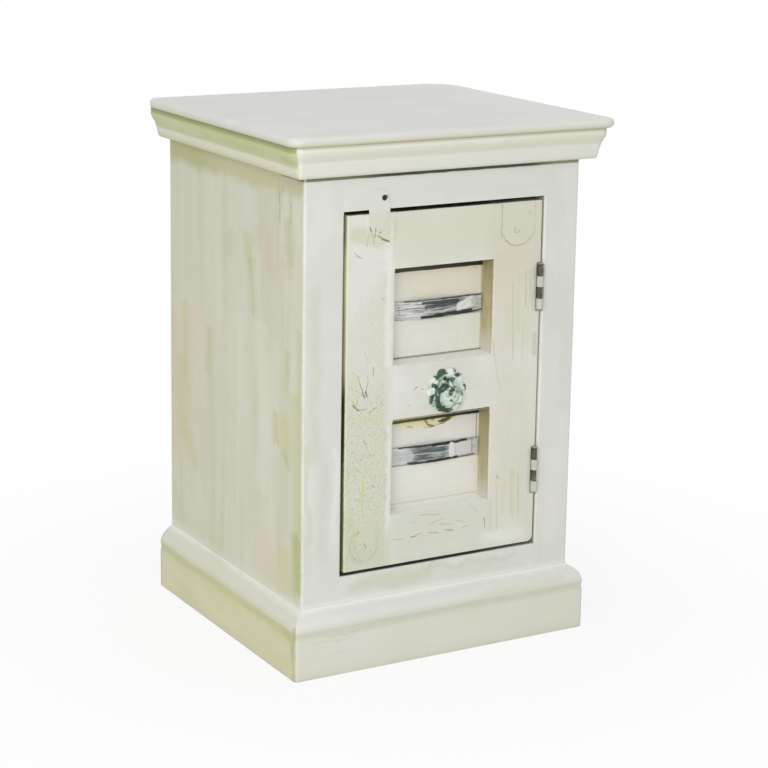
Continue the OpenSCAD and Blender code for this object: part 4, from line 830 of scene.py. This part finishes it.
# the worn strip on the lower panel, brown stains inside it, and seams, beads and runs on both
worn_strip = [
    (-46, 262.5, -8, 262, 5.2, 1.0, "E6E2B6"), (-8, 262.5, 30, 266, 5.0, 1.0, "E2DCA8"),
    (24, 268, 36, 272, 4.6, 1.0, "DDD59C"), (-50, 262, -44, 259, 2.5, 0.8, "F0EED6")]
strip_stains = [
    (-30, 260.5, -24, 259, 1.4, 0.6, "ADA76A"), (-8, 266, -4, 259, 1.3, 0.85, "86703C"),
    (-4, 259, 3, 258, 1.4, 0.9, "765F30"), (2, 265, 8, 268, 1.5, 0.75, "7A7240"),
    (8, 269.5, 20, 272.5, 1.9, 0.9, "4F4C16"), (12, 262, 24, 264.5, 2.3, 0.95, "3A380E"),
    (25, 265, 31, 270, 1.6, 0.85, "6A662C"), (32, 266, 38, 272, 1.2, 0.75, "8A8148"),
    (-7.4, 256.3, 12.2, 258.5, 0.7, 0.65, "9A8A58"), (12.2, 258.5, 31.8, 265.4, 0.9, 0.85, "545022")]
panel_marks = [
    (-80, 172.6, 80, 172.4, 0.7, 0.6, "B9B6AC"), (-80, 340.2, 80, 340.6, 1.5, 0.9, "85826E"),
    (32.8, 374, 32.2, 348, 0.5, 0.4, "BDBBA2"), (53.9, 376, 56.1, 345, 0.6, 0.4, "BDBBA2"),
    (52, 436, 57, 433, 1.6, 0.8, "D8D490"), (60.5, 272, 60.5, 232, 0.7, 0.85, "6E5A30"),
    (61.5, 276, 61.5, 170, 0.9, 0.4, "CFC9AC"), (59, 434, 59.5, 345, 2.6, 0.5, "E4E0CC"),
    (62.6, 440, 62.6, 340, 0.9, 0.6, "8C855C")]


def panel_tints(t, at, where, turned, shade):
    """A dark line of painted shade with grime under the rail above each panel, a worn strip with brown
    stains under the middle rail, a seam at each panel's foot, a cream bead of filler up its right
    edge, and painted light near its left edge where the stile's shade falls, all on the panel's front."""
    plain = shade
    shade = wash(t, shade, where[2], 0.30, 0.45, 0.7, wash(t, "D4D3C7", where[2], 0.38, 0.43, 1.0, "DFD8BF"))
    shade = strokes(t, at, shade, 0, 1.2, 120.0, worn_strip, fade=0.25)
    # painted light near the left edge, where the free stile shades the panel
    shade = wash(t, shade, where[0], -0.030, -0.055, 0.7, "F1F0EB")
    shade = wash(t, shade, where[0], -0.050, -0.061, 0.9, "FFFFFC")
    shade = strokes(t, at, shade, 0, 3.2, 170.0, strip_stains, fade=0.4)
    shade = strokes(t, at, shade, 0, 0.5, 120.0, panel_marks)
    # painted shade with grime: a dark line under the rail above each panel
    for line, shadow_line_tint in ((0.4366, "3B390F"), (0.2652, "5E5422")):
        low_edge = put(t, "Math", [mottle(t, at, 70.0), 0.0016, where[2]], operation="MULTIPLY_ADD")
        shade = lay(t, shade, wash(t, shadow_line_tint, where[0], -0.04, 0.02, 1.0, "231F06"),
                    (low_edge, line + 0.0006, line + 0.0014), (where[2], line + 0.03, line + 0.029999))
    return lay(t, plain, shade, (where[1], -0.1285, -0.1295))


panel_paint = old_paint("cream_paint_on_panels", "E3E2D8", "EAE9E4", "DDD9CB", "DAD8CC", 0, streak=0.35,
                        patch=0.5, rub=0.3, seed=24, extras=panel_tints)
for name, z0, z1, stands in (("lower_panel", 161.5, 283, "door_panel_lower"),
                             ("upper_panel", 332, 453.5, "door_panel_upper")):
    board(name, (-69.5, -131, z0), (70.5, -121, z1), 0, 0.5, "door", panel_paint, stands,
          seed=int(z0), rough=0.3, ends=0.3)

# ---- straps ----
# Two flat steel straps nailed across the sunk fields and bowed slightly off the panels. The steel
# is grey where rubbed and black in streaks, and old pale paint clings to parts of it.


def strap_look(name, tone, dark, items):
    """Rubbed steel drawn with long streaks: light grey metal, darker between two places along the
    strap, with black scale, flakes of paint and painted shade along its edges as strokes with
    ragged edges."""
    made, t, at, where = begin(name)
    drawn = mottle(t, at, (16.0, 60.0, 420.0), 3.0, 5.0, 0.7)
    cloud = mottle(t, at, (40.0, 40.0, 120.0), 1.0, 5.0, 0.65)
    hair = mottle(t, at, (34.0, 60.0, 950.0), 9.0, 3.0, 0.6)
    middle = within(t, (where[0], dark[0] - 0.01, dark[0] + 0.008), (where[0], dark[1] + 0.006, dark[1] - 0.004))
    shade = lay(t, "D3D4D1", tone, (middle, 0.0, 1.0))
    scale_share = put(t, "MapRange", [middle, 0.0, 1.0, 0.35, 0.8])
    shade = wash(t, shade, drawn, 0.50, 0.62, scale_share, "3A3F40")
    shade = wash(t, shade, cloud, 0.50, 0.68, 0.6, "C2C5C4")
    shade = wash(t, shade, hair, 0.555, 0.60, 0.7, "3A3C3B")
    shade = wash(t, shade, hair, 0.43, 0.38, 0.6, "E2E2DE")
    shade = wash(t, shade, drawn, 0.44, 0.34, 0.7, "D4D5D2")
    shade = strokes(t, at, shade, 0, 1.3, 110.0, items, fade=0.35)
    finish(t, shade, (drawn, 0.42, 0.62), drawn, 0.4, 0.0002, metal=0.35)
    return made


# the dark strokes along each strap's upper and lower edges are painted shade; the others are black scale, worn metal
# and flakes of paint
upper_steel = strap_look("streaked_steel_strap_upper", "909394", (-0.010, 0.052), [
    (-16, 401, 30, 400, 2.0, 0.85, "2C2E2D"), (-12, 396, 27, 397.5, 2.4, 0.8, "3C3F3E"),
    (-38, 403.5, 12, 404.6, 0.9, 0.8, "252726"), (8, 404, 62, 404.4, 1.4, 0.85, "2B2E2E"),
    (-50, 395, -12, 395.6, 0.7, 0.7, "4A5054"), (-56, 386, -20, 385.4, 0.6, 0.5, "7D8285"),
    (-46, 399, -44, 390, 0.8, 0.5, "6E7376"), (34, 392, 48, 397, 7.2, 0.97, "E2E2DE"),
    (46, 400, 36, 392, 0.6, 0.5, "A5A7A6"), (51, 395, 42, 389, 0.6, 0.45, "A5A7A6"),
    (50, 398, 60, 390, 4.0, 0.8, "BEBFB8"), (-17, 384.6, 8, 384.5, 2.4, 0.95, "16201F"),
    (0, 386, 48, 386.5, 2.6, 0.95, "1C2628"), (48, 385.6, 62, 386.5, 1.2, 0.9, "2A3234"),
    (-14, 391, 10, 390, 1.2, 0.6, "D8DAD8"), (12, 390.5, 26, 391, 1.6, 0.7, "D8DAD8")])
lower_steel = strap_look("streaked_steel_strap_lower", "6A7573", (-0.026, 0.019), [
    (-62, 227, -30, 227, 8, 0.75, "C2C4C3"), (-42, 237.2, 2, 237.2, 1.0, 0.9, "2A3032"),
    (0, 236.8, 22, 236.2, 2.0, 0.95, "1E2526"), (18, 236, 46, 236.8, 1.7, 0.95, "1E2526"),
    (-30, 218.2, 0, 217.8, 2.0, 0.95, "1E2628"), (-6, 217.8, 33, 218, 2.4, 0.95, "161D1F"),
    (33, 217.4, 56, 219, 0.9, 0.85, "3A4042"), (-62, 218, -30, 217.2, 1.2, 0.6, "8D9190"),
    (26, 233, 26, 223, 4.6, 1.0, "E0E0DC"), (35, 231, 54, 231, 5.0, 0.95, "D5D3CD"),
    (35, 224, 53, 224, 4.6, 0.95, "D6D4CE"), (53.4, 236, 53.6, 221, 0.8, 0.8, "8A7E68")])
straps = (("upper", 393.75, upper_steel), ("lower", 227.25, lower_steel))
strap_from, strap_to, flat_end, seat_y = -60.5, 61.5, 13, -131.05
for word, mid_z, steel in straps:
    x = np.concatenate([[strap_from], np.linspace(strap_from + 0.4, strap_to - 0.4, 90), [strap_to]])
    share = np.clip((x - strap_from - flat_end) / (strap_to - strap_from - 2 * flat_end), 0, 1)
    bow = 3 * (1 - np.cos(2 * np.pi * share)) / 2
    # section: a flat bar 22 by 2.4 with rolled edges, as (depth, height) from its upper edge down
    upper = [(0.0, 10.3), (0.35, 10.85), (1.2, 11), (2.0, 10.8), (2.4, 10.2), (2.45, 9), (2.5, 4)]
    loop = np.array([(d, -h) for d, h in upper] + [(2.5, 0)] + upper[::-1] + [(0, 0)])
    nick = 0.5 * wander(x, int(mid_z), 30)
    grid = np.stack([np.repeat(x[:, None], len(loop), 1), seat_y - bow[:, None] - loop[None, :, 0],
                     mid_z + loop[None, :, 1] * (1 - nick[:, None] / 11)], -1)
    shape(word + "_strap", [grid], "door", steel, "strap_" + word)


def dome_nails(name, spots, r, h, body, material, stands_for, hidden=6.0):
    """Nail heads as surfaces of revolution about the Y axis: a low dome of radius r and height h
    over a short shank, all joined in one mesh. Each spot is (x, y of the surface, z)."""
    a = np.linspace(2 * np.pi, 0, 21)[:-1]
    prof = [(r * 0.25, -h), (r * 0.6, -h * 0.86), (r * 0.88, -h * 0.5), (r, -h * 0.15), (r, 0.05),
            (1.2, 0.06), (1.2, hidden)]
    heads = [np.array([np.column_stack([x + q * np.cos(a), np.full(20, y + d), z + q * np.sin(a)]) for q, d in prof])
             for x, y, z in spots]
    return shape(name, heads, body, material, stands_for, tip=h * 0.06)


# forged iron: nearly black with brown rust in the low spots, dull
iron, t, at, where = begin("forged_iron")
grit = mottle(t, at, 300.0, 0.0, 4.0, 0.7)
finish(t, wash(t, "3C3C36", mottle(t, at, 60.0, 0.0, 5.0), 0.45, 0.7, 0.8, "5A4C38"), (grit, 0.45, 0.75), grit, 0.5,
       0.0003, metal=0.6)
# the straps' nails are flush and rubbed like the straps, so each wears its strap's steel
for word, z, steel in straps:
    dome_nails(word + "_strap_nail_heads", [(x, seat_y - 2.5, z) for x in (-54, 55)], 2.3, 0.5, "door",
               steel, "strap_nails" if word == "upper" else (), hidden=8.0)

# ---- corner plates ----
# Sheet iron plates with a round lower end, nailed over the stiles' corners to mend them and
# painted over with the door, so only part of their edges and nails shows.
plate_y, thick, soften = -154.6, 0.6, 0.3


def plate(name, outline, material, stands_for):
    """A flat plate from its outline (x, z points in order). Loops step in from the back edge to
    the front edge over a rounded arris, then to the middle, so it is a closed shell."""
    mid = outline.mean(0)
    reach = np.linalg.norm(outline - mid, axis=1).max()
    rows, rub = [], []
    for step, depth, w in ((0, thick, 0.1), (0, soften, 0.5), (soften * 0.3, soften * 0.3, 0.6),
                           (soften, 0, 0.4), (soften + 1.5, 0, 0), (reach * 0.6, 0, 0)):
        ring = mid + (outline - mid) * (1 - step / reach)
        rows.append(np.column_stack([ring[:, 0], np.full(len(ring), plate_y + depth), ring[:, 1]]))
        rub.append(np.full(len(ring), w))
    return shape(name, [np.array(rows)], "door", material, stands_for, np.array(rub))


def tongue(cx, z0, w, h):
    """A tongue's outline: half a circle below, straight sides, square top."""
    a = np.radians(np.linspace(180, 360, 25))
    low = np.column_stack([cx + w / 2 * np.cos(a), z0 + w / 2 + w / 2 * np.sin(a)])
    side_z = np.linspace(z0 + w / 2, z0 + h, 12)[1:]
    right = np.column_stack([np.full(len(side_z), cx + w / 2), side_z])
    top_x = np.linspace(cx + w / 2, cx - w / 2, 14)[1:-1]
    cap = np.column_stack([top_x, np.full(len(top_x), z0 + h)])
    return np.vstack([low, right, cap, np.column_stack([np.full(len(side_z), cx - w / 2), side_z[::-1]])])


# the stiles' own paint carried over the plates
plate("top_corner_plate", tongue(94.5, 459.5, 44, 50), hung_paint, "corner_plate_top")
plate("low_corner_plate", tongue(-97.5, 119.5, 36, 46), free_paint, "corner_plate_low")
dome_nails("plate_nail_heads", [(94.5, plate_y, 476.5), (109.5, plate_y, 496.5)], 2.3, 0.5, "door",
           hung_paint, "plate_nails", hidden=9.0)
dome_nails("low_plate_nail_heads", [(-95.5, plate_y, 136.5), (-105.5, plate_y, 155.5)], 2.3, 0.5, "door",
           free_paint, (), hidden=9.0)

# ---- hinges ----
# Two pressed steel butt hinges with four knuckles. The post's knuckles are browned bare steel, and
# the door's are painted with the door. Their leaves lie in the gap between the door and its post.


def barrel(name, spans, r, body, material, stands_for, leaves=()):
    """Knuckles of radius r turned about the hinge axis, one per span of heights, each with rounded
    rims, and a thin leaf as slabs that start inside them."""
    a = np.linspace(0, 2 * np.pi, 33)[:-1]
    rim = [(1.2, 0), (0.5, 0.05), (0.12, 0.25), (0, 0.7), (0, 1.4)]
    parts = []
    for z0, z1 in spans:
        prof = ([(r - d, z0 + rise) for d, rise in rim] + [(r, (z0 + z1) / 2)]
                + [(r - d, z1 - rise) for d, rise in rim[::-1]])
        parts.append(np.array([np.column_stack([axis_x + q * np.cos(a), axis_y + q * np.sin(a), np.full(32, z)])
                               for q, z in prof]))
    for x0, x1, y0, y1, z0, z1 in leaves:
        parts.append(np.array([[(x0, y0, z), (x1, y0, z), (x1, y1, z), (x0, y1, z)] for z in (z0, z1)]))
    return shape(name, parts, body, material, stands_for)


def hinge_look(name, tint, pale, metal, painted_side=0.0):
    """Bare or painted steel with fine turned lines round the knuckle, broken by worn patches. Paint
    from the post laps over the side next to it, more on the lower hinge."""
    made, t, at, where = begin(name)
    grime = mottle(t, at, (260.0, 260.0, 140.0), 2.0, 5.0, 0.7)
    lines = mottle(t, at, (30.0, 30.0, 1500.0), 0.0, 2.0)
    lapped = put(t, "MapRange", [where[2], 0.25, 0.35, painted_side, painted_side * 0.35])
    shade = wash(t, tint, grime, 0.48, 0.66, 0.8, pale)
    shade = wash(t, shade, where[0], 0.1243, 0.1262, lapped, "CFCFC6")
    finish(t, shade, (lines, 0.4, 0.65), lines, 0.3, 0.0001, metal)
    return made


dark_steel = hinge_look("browned_steel", "45433A", "7E7C72", 0.3, 0.95)
painted_steel = hinge_look("painted_steel", "BFBFB4", "CBCBC2", 0.0)
# four knuckles over 51 mm, by turns the door's and the post's, and a pin with two round ends
hinge_h = 51.0
for word, mid_z in hinge_heights:
    low, pitch = mid_z - hinge_h / 2, hinge_h / 4
    spans = [(low + k * pitch + 0.1, low + (k + 1) * pitch - 0.1) for k in range(4)]
    for kind, body, stands, steel, x0, x1, turns in (
            ("door", "door", "door", painted_steel, door_right, 127.6, (0, 2)),
            ("post", "carcass", "frame", dark_steel, 127.9, open_right, (1, 3))):
        leaves = [(x0, x1, -151.4, -126, mid_z - 25.4, mid_z + 25.4)]
        leaves += [(x0, x1, -155.4, -151.2, *spans[k]) for k in turns]
        barrel("%s_%s_knuckles" % (word, kind), [spans[k] for k in turns], knuckle_r, body, steel,
               "hinge_%s_%s_leaf" % (word, stands), leaves)
    barrel(word + "_hinge_pin", [(mid_z - 27.2, mid_z - 25.72), (mid_z + 25.72, mid_z + 27.2)], knuckle_r - 1,
           "carcass", painted_steel, "hinge_%s_pin" % word)

# dull zinc on the screws' heads and the catch's strike plate
zinc = hinge_look("dull_zinc", "8E918F", "A9ABA8", 0.7)
coat(zinc, "hinge_frame_screws", "hinge_door_screws", "catch_strike")

# ---- hasp ----
# A strip of sheet iron with round ends, riveted to the door's corner so that it swings. It closed
# over a staple in the head rail, and it is painted over with the frame and the door.
a = np.radians(np.linspace(0, 180, 21))
top_end = np.column_stack([-83.5 + 13 * np.cos(a), 523.5 + 13 * np.sin(a)])
low_end = np.column_stack([-82.5 - 13 * np.cos(a), 488.5 - 13 * np.sin(a)])
left_side = np.column_stack([np.linspace(-96.5, -95.5, 12)[1:-1], np.linspace(523.5, 488.5, 12)[1:-1]])
right_side = np.column_stack([np.linspace(-69.5, -70.5, 12)[1:-1], np.linspace(488.5, 523.5, 12)[1:-1]])
outline = np.vstack([top_end, left_side, low_end, right_side])
eye_mid = np.array([-77.5, 526.0])
bearing = np.arctan2(outline[:, 1] - eye_mid[1], outline[:, 0] - eye_mid[0])
rim = eye_mid + 3.2 * np.column_stack([np.cos(bearing), np.sin(bearing)])
away_dir = (outline - eye_mid) / np.linalg.norm(outline - eye_mid, axis=1)[:, None]
# loops round the strip: the share of the way from the eye's rim, a step in, the place y and the wear
rows, rub = [], []
for share, edge, y, w in ((1, 0, -154.06, 0), (1, 0, -154.09, 0), (1, 1.0, -154.14, 0), (1, 2.0, -154.18, 0),
                          (1, 3.0, -154.2, 0), (0.3, 0, -154.2, 0), (0, -1.2, -154.2, 0), (0, -0.2, -154.2, 0.3),
                          (0, 0, -154.17, 0.3), (0, 0, -154.06, 0), (0.5, 0, -154.06, 0), (1, 0, -154.06, 0)):
    ring = rim + (outline - rim) * share - away_dir * edge
    rows.append(np.column_stack([ring[:, 0], np.full(len(ring), y), ring[:, 1]]))
    rub.append(np.full(len(ring), w))


def hasp_tints(t, at, where, turned, shade):
    """The frame's paint above the door's edge, and the door's chipped paint below it."""
    shade = wash(t, shade, where[2], 0.513, 0.508, 0.85, "D5D3C1")
    return strokes(t, at, shade, 0, 1.6, 200.0, free_marks[:7])


hasp_paint = old_paint("offwhite_paint_on_hasp", "D7D9D2", "DEDFDB", "D2D4CA", "DEDFD8", 2, streak=0.25, patch=0.3,
                       rub=0.3, seed=26, relief=0.06, extras=hasp_tints)
shape("hasp_strip", [np.array(rows)], "hasp", hasp_paint, "hasp", np.array(rub), close=False)
dome_nails("hasp_rivet_head", [(-82.5, -154.2, 488.5)], 4.0, 0.3, "door", hasp_paint, "hasp_rivet",
           hidden=20.0)

# ---- ring pull ----
# A cast rosette with ten lobes under mint paint worn to dark green, with an iron eye through the
# door that carries a hanging ring.


def greened(name, tint, mid_tint, pale, cut):
    """Mint paint broken by dark green: a noise in long bent flakes, cut at sharp levels."""
    made, t, at, where = begin(name)
    bend = put(t, "VectorMath", {0: mottle(t, at, 60.0, 4.0, 2.0, out=1), "Scale": 0.02}, operation="SCALE")
    flakes = mottle(t, put(t, "VectorMath", [at, bend], operation="ADD"), (70.0, 70.0, 95.0), 8.0, 4.0, 0.55)
    fine = mottle(t, at, 240.0, 0.0, 4.0, 0.65)
    worn = put(t, "Attribute", out=2, attribute_name="wear")
    lift = put(t, "Math", [worn, 0.10, flakes], operation="MULTIPLY_ADD")
    shade = wash(t, tint, lift, cut, cut + 0.025, 1.0, mid_tint)
    shade = wash(t, shade, lift, cut + 0.05, cut + 0.08, 1.0, pale)
    shade = wash(t, shade, fine, 0.56, 0.66, 0.5, mid_tint)
    finish(t, shade, (fine, 0.42, 0.65), lift, 0.6, 0.0004)
    return made


mint = greened("mint_paint_over_green_casting", "2A4A38", "A3B7A2", "DDE5DC", 0.48)
green_iron = greened("green_paint_on_iron_ring", "23402F", "7C947F", "CDD8CB", 0.51)
# the rosette's middle, and the heights of the eye and of the ring's middle
pull_x, pull_z, eye_z, ring_z, eye_y = 5.0, 304.5, 312.5, 297.5, -161.0
ray = np.linspace(0, 1, 40)[1:, None]
around = np.linspace(0, 2 * np.pi, 181)[:-1]
lobes = 10
# the outline is the farther edge of the nearest lobe, a circle of 6.5 whose middle lies at 19
near_lobe = (around + np.pi / lobes) % (2 * np.pi / lobes) - np.pi / lobes
edge_r = 19 * np.cos(near_lobe) + np.sqrt(np.maximum(6.5 ** 2 - (19 * np.sin(near_lobe)) ** 2, 0.01))
radius = ray * edge_r
crown = 2.3 + 1.2 * np.exp(-((radius - 17) / 1.5) ** 2) + 0.9 * np.exp(-((radius - 11) / 1.4) ** 2)
petal = 0.9 * np.cos(lobes * around) * np.exp(-((radius - 21) / 3.0) ** 2)
rise = np.minimum(crown + petal - 2.0 * np.clip((ray - 0.93) / 0.07, 0, 1) ** 2, 3.85)
face = np.stack([pull_x + radius * np.cos(around), face_y - np.maximum(rise, 0.4), pull_z + radius * np.sin(around)],
                -1)
middle = np.array([pull_x, face_y, pull_z])
back_ring = face[-1] * (1, 0, 1) + (0, face_y, 0)
rub = np.vstack([np.clip((rise - 2.2) / 1.6, 0, 1), np.zeros((2, 180))])
shape("rosette", [np.concatenate([face, [back_ring, middle + (back_ring - middle) * 0.05]])], "door",
      mint, "pull_rosette", rub)

# the ring: a bar of 2.55 carried round a circle of 15, a little thinner where it hangs in the eye
u, v = np.meshgrid(np.linspace(0, 2 * np.pi, 97)[:-1], np.linspace(0, 2 * np.pi, 25)[:-1], indexing="ij")
bar = 2.55 * (1 - 0.1 * (0.5 + 0.5 * np.cos(u)))
flat = 15 + bar * np.cos(v)
hoop = np.stack([pull_x + flat * np.sin(u), eye_y + bar * np.sin(v), ring_z + flat * np.cos(u)], -1)
shape("hanging_ring", [np.concatenate([hoop, hoop[:1]])], "ring", green_iron, "pull_ring",
      np.tile(np.clip(np.cos(v[:1]), 0, 1) * 0.6, (97, 1)), close=False)
# the eye's round cheek is 6 wide, with a bore of 3.2 that leaves the ring loose
u = np.linspace(0, 2 * np.pi, 49)[:-1]
cheek = [(3.2, -2.4), (3.6, -2.9), (4.7, -3.0), (5.7, -2.8), (6.2, -2.1), (6.2, 0), (6.2, 2.1), (5.7, 2.8),
         (4.7, 3.0), (3.6, 2.9), (3.2, 2.4), (3.2, 0), (3.2, -2.4)]
eye_rub = np.array([0, 0.6, 0.2, 0.6, 1, 0.2, 1, 0.6, 0.2, 0.6, 0, 0, 0])
shape("ring_eye", [np.array([np.column_stack([np.full(48, pull_x + w), eye_y + q * np.cos(u), eye_z + q * np.sin(u)])
                             for q, w in cheek])], "door", green_iron, "pull_eye",
      np.tile(eye_rub[:, None], (1, 48)), close=False)
stem = [(0.5, -155.4), (5.4, -155.4), (5.9, -155.0), (5.9, -154.2), (3.0, -154.1), (3.0, -111.2), (2.6, -110.4),
        (0.5, -110.2)]
shape("eye_stem", [np.array([np.column_stack([pull_x + q * np.cos(u), np.full(48, y), eye_z + q * np.sin(u)])
                             for q, y in stem])], "door", iron)
coat(iron, "pull_nut")

# ---- magnetic catch ----
# A small moulded catch held on its own seat on the shelf: brown plastic, with a fine grain from
# its mould.
plastic, t, at, where = begin("brown_moulded_polypropylene")
pebble = mottle(t, at, 1200.0, 0.0, 2.0)
finish(t, wash(t, "4A3626", pebble, 0.2, 0.8, 1.0, "5C4632"), 0.5, pebble, 0.3, 0.0001)
lo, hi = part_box("catch_body")
board("catch_case", np.array(lo) * 1000, np.array(hi) * 1000, 0, 1.2, "carcass", plastic,
      "catch_body", seed=61, steps=8, rough=0.0)

# ---- floor, backdrop and light ----
# A pale seamless floor under plain soft light: a broad lamp on the camera's side, another
# overhead, and an even white surround. The floor shows white, and keeps a faint shadow.


def seen_rays(t):
    """1 for rays that the camera or a reflection sees, 0 for those that only light the object."""
    rays = put(t, "LightPath").node.outputs
    direct = put(t, "Math", [rays["Is Camera Ray"], rays["Is Glossy Ray"]], operation="MAXIMUM")
    return put(t, "Math", [direct, rays["Is Transmission Ray"]], operation="MAXIMUM")


sheet = bpy.data.meshes.new("floor")
sheet.from_pydata([(-20, -20, 0), (20, -20, 0), (20, 20, 0), (-20, 20, 0)], [], [(0, 1, 2, 3)])
floor = bpy.data.objects.new("floor", sheet)
bpy.context.scene.collection.objects.link(floor)
white = bpy.data.materials.new("white_paper")
white.use_nodes = True
t = white.node_tree
shader = t.nodes["Principled BSDF"]
shader.inputs["Base Color"].default_value = (0.95, 0.95, 0.95, 1)
shader.inputs["Roughness"].default_value = 0.9
shader.inputs["Specular IOR Level"].default_value = 0.1
glow = put(t, "Emission", {"Color": (1, 1, 1, 1), "Strength": 1.0})
# plain white a metre and more from the cupboard, and a quarter lit paper near it
far = put(t, "VectorMath", [put(t, "TexCoord", out=3)], 1, operation="LENGTH")
share = put(t, "Math", [seen_rays(t), put(t, "MapRange", [far, 0.30, 0.75, 0.84, 1.0])], operation="MULTIPLY")
t.links.new(put(t, "MixShader", [share, shader.outputs[0], glow]), t.nodes["Material Output"].inputs["Surface"])
sheet.materials.append(white)

world = bpy.data.worlds.new("studio")
bpy.context.scene.world = world
world.use_nodes = True
t = world.node_tree
around_light = put(t, "Background", {"Color": (1, 1, 1, 1), "Strength": 0.52})
plain_white = put(t, "Background", {"Color": (1, 1, 1, 1), "Strength": 1.0})
t.links.new(put(t, "MixShader", [seen_rays(t), around_light, plain_white]), t.nodes["World Output"].inputs["Surface"])


def lamp(name, place, aim, size, power):
    """A square area lamp that faces a point."""
    light = bpy.data.lights.new(name, "AREA")
    light.size = size
    light.energy = power
    made = bpy.data.objects.new(name, light)
    bpy.context.scene.collection.objects.link(made)
    made.location = place
    made.rotation_euler = (Vector(aim) - Vector(place)).to_track_quat("-Z", "Y").to_euler()


lamp("front_softbox", (-1.9, -2.45, 1.2), (0, 0, 0.33), 1.5, 44)
lamp("overhead_softbox", (0, 0.2, 2.6), (0, 0, 0.5), 1.6, 12)
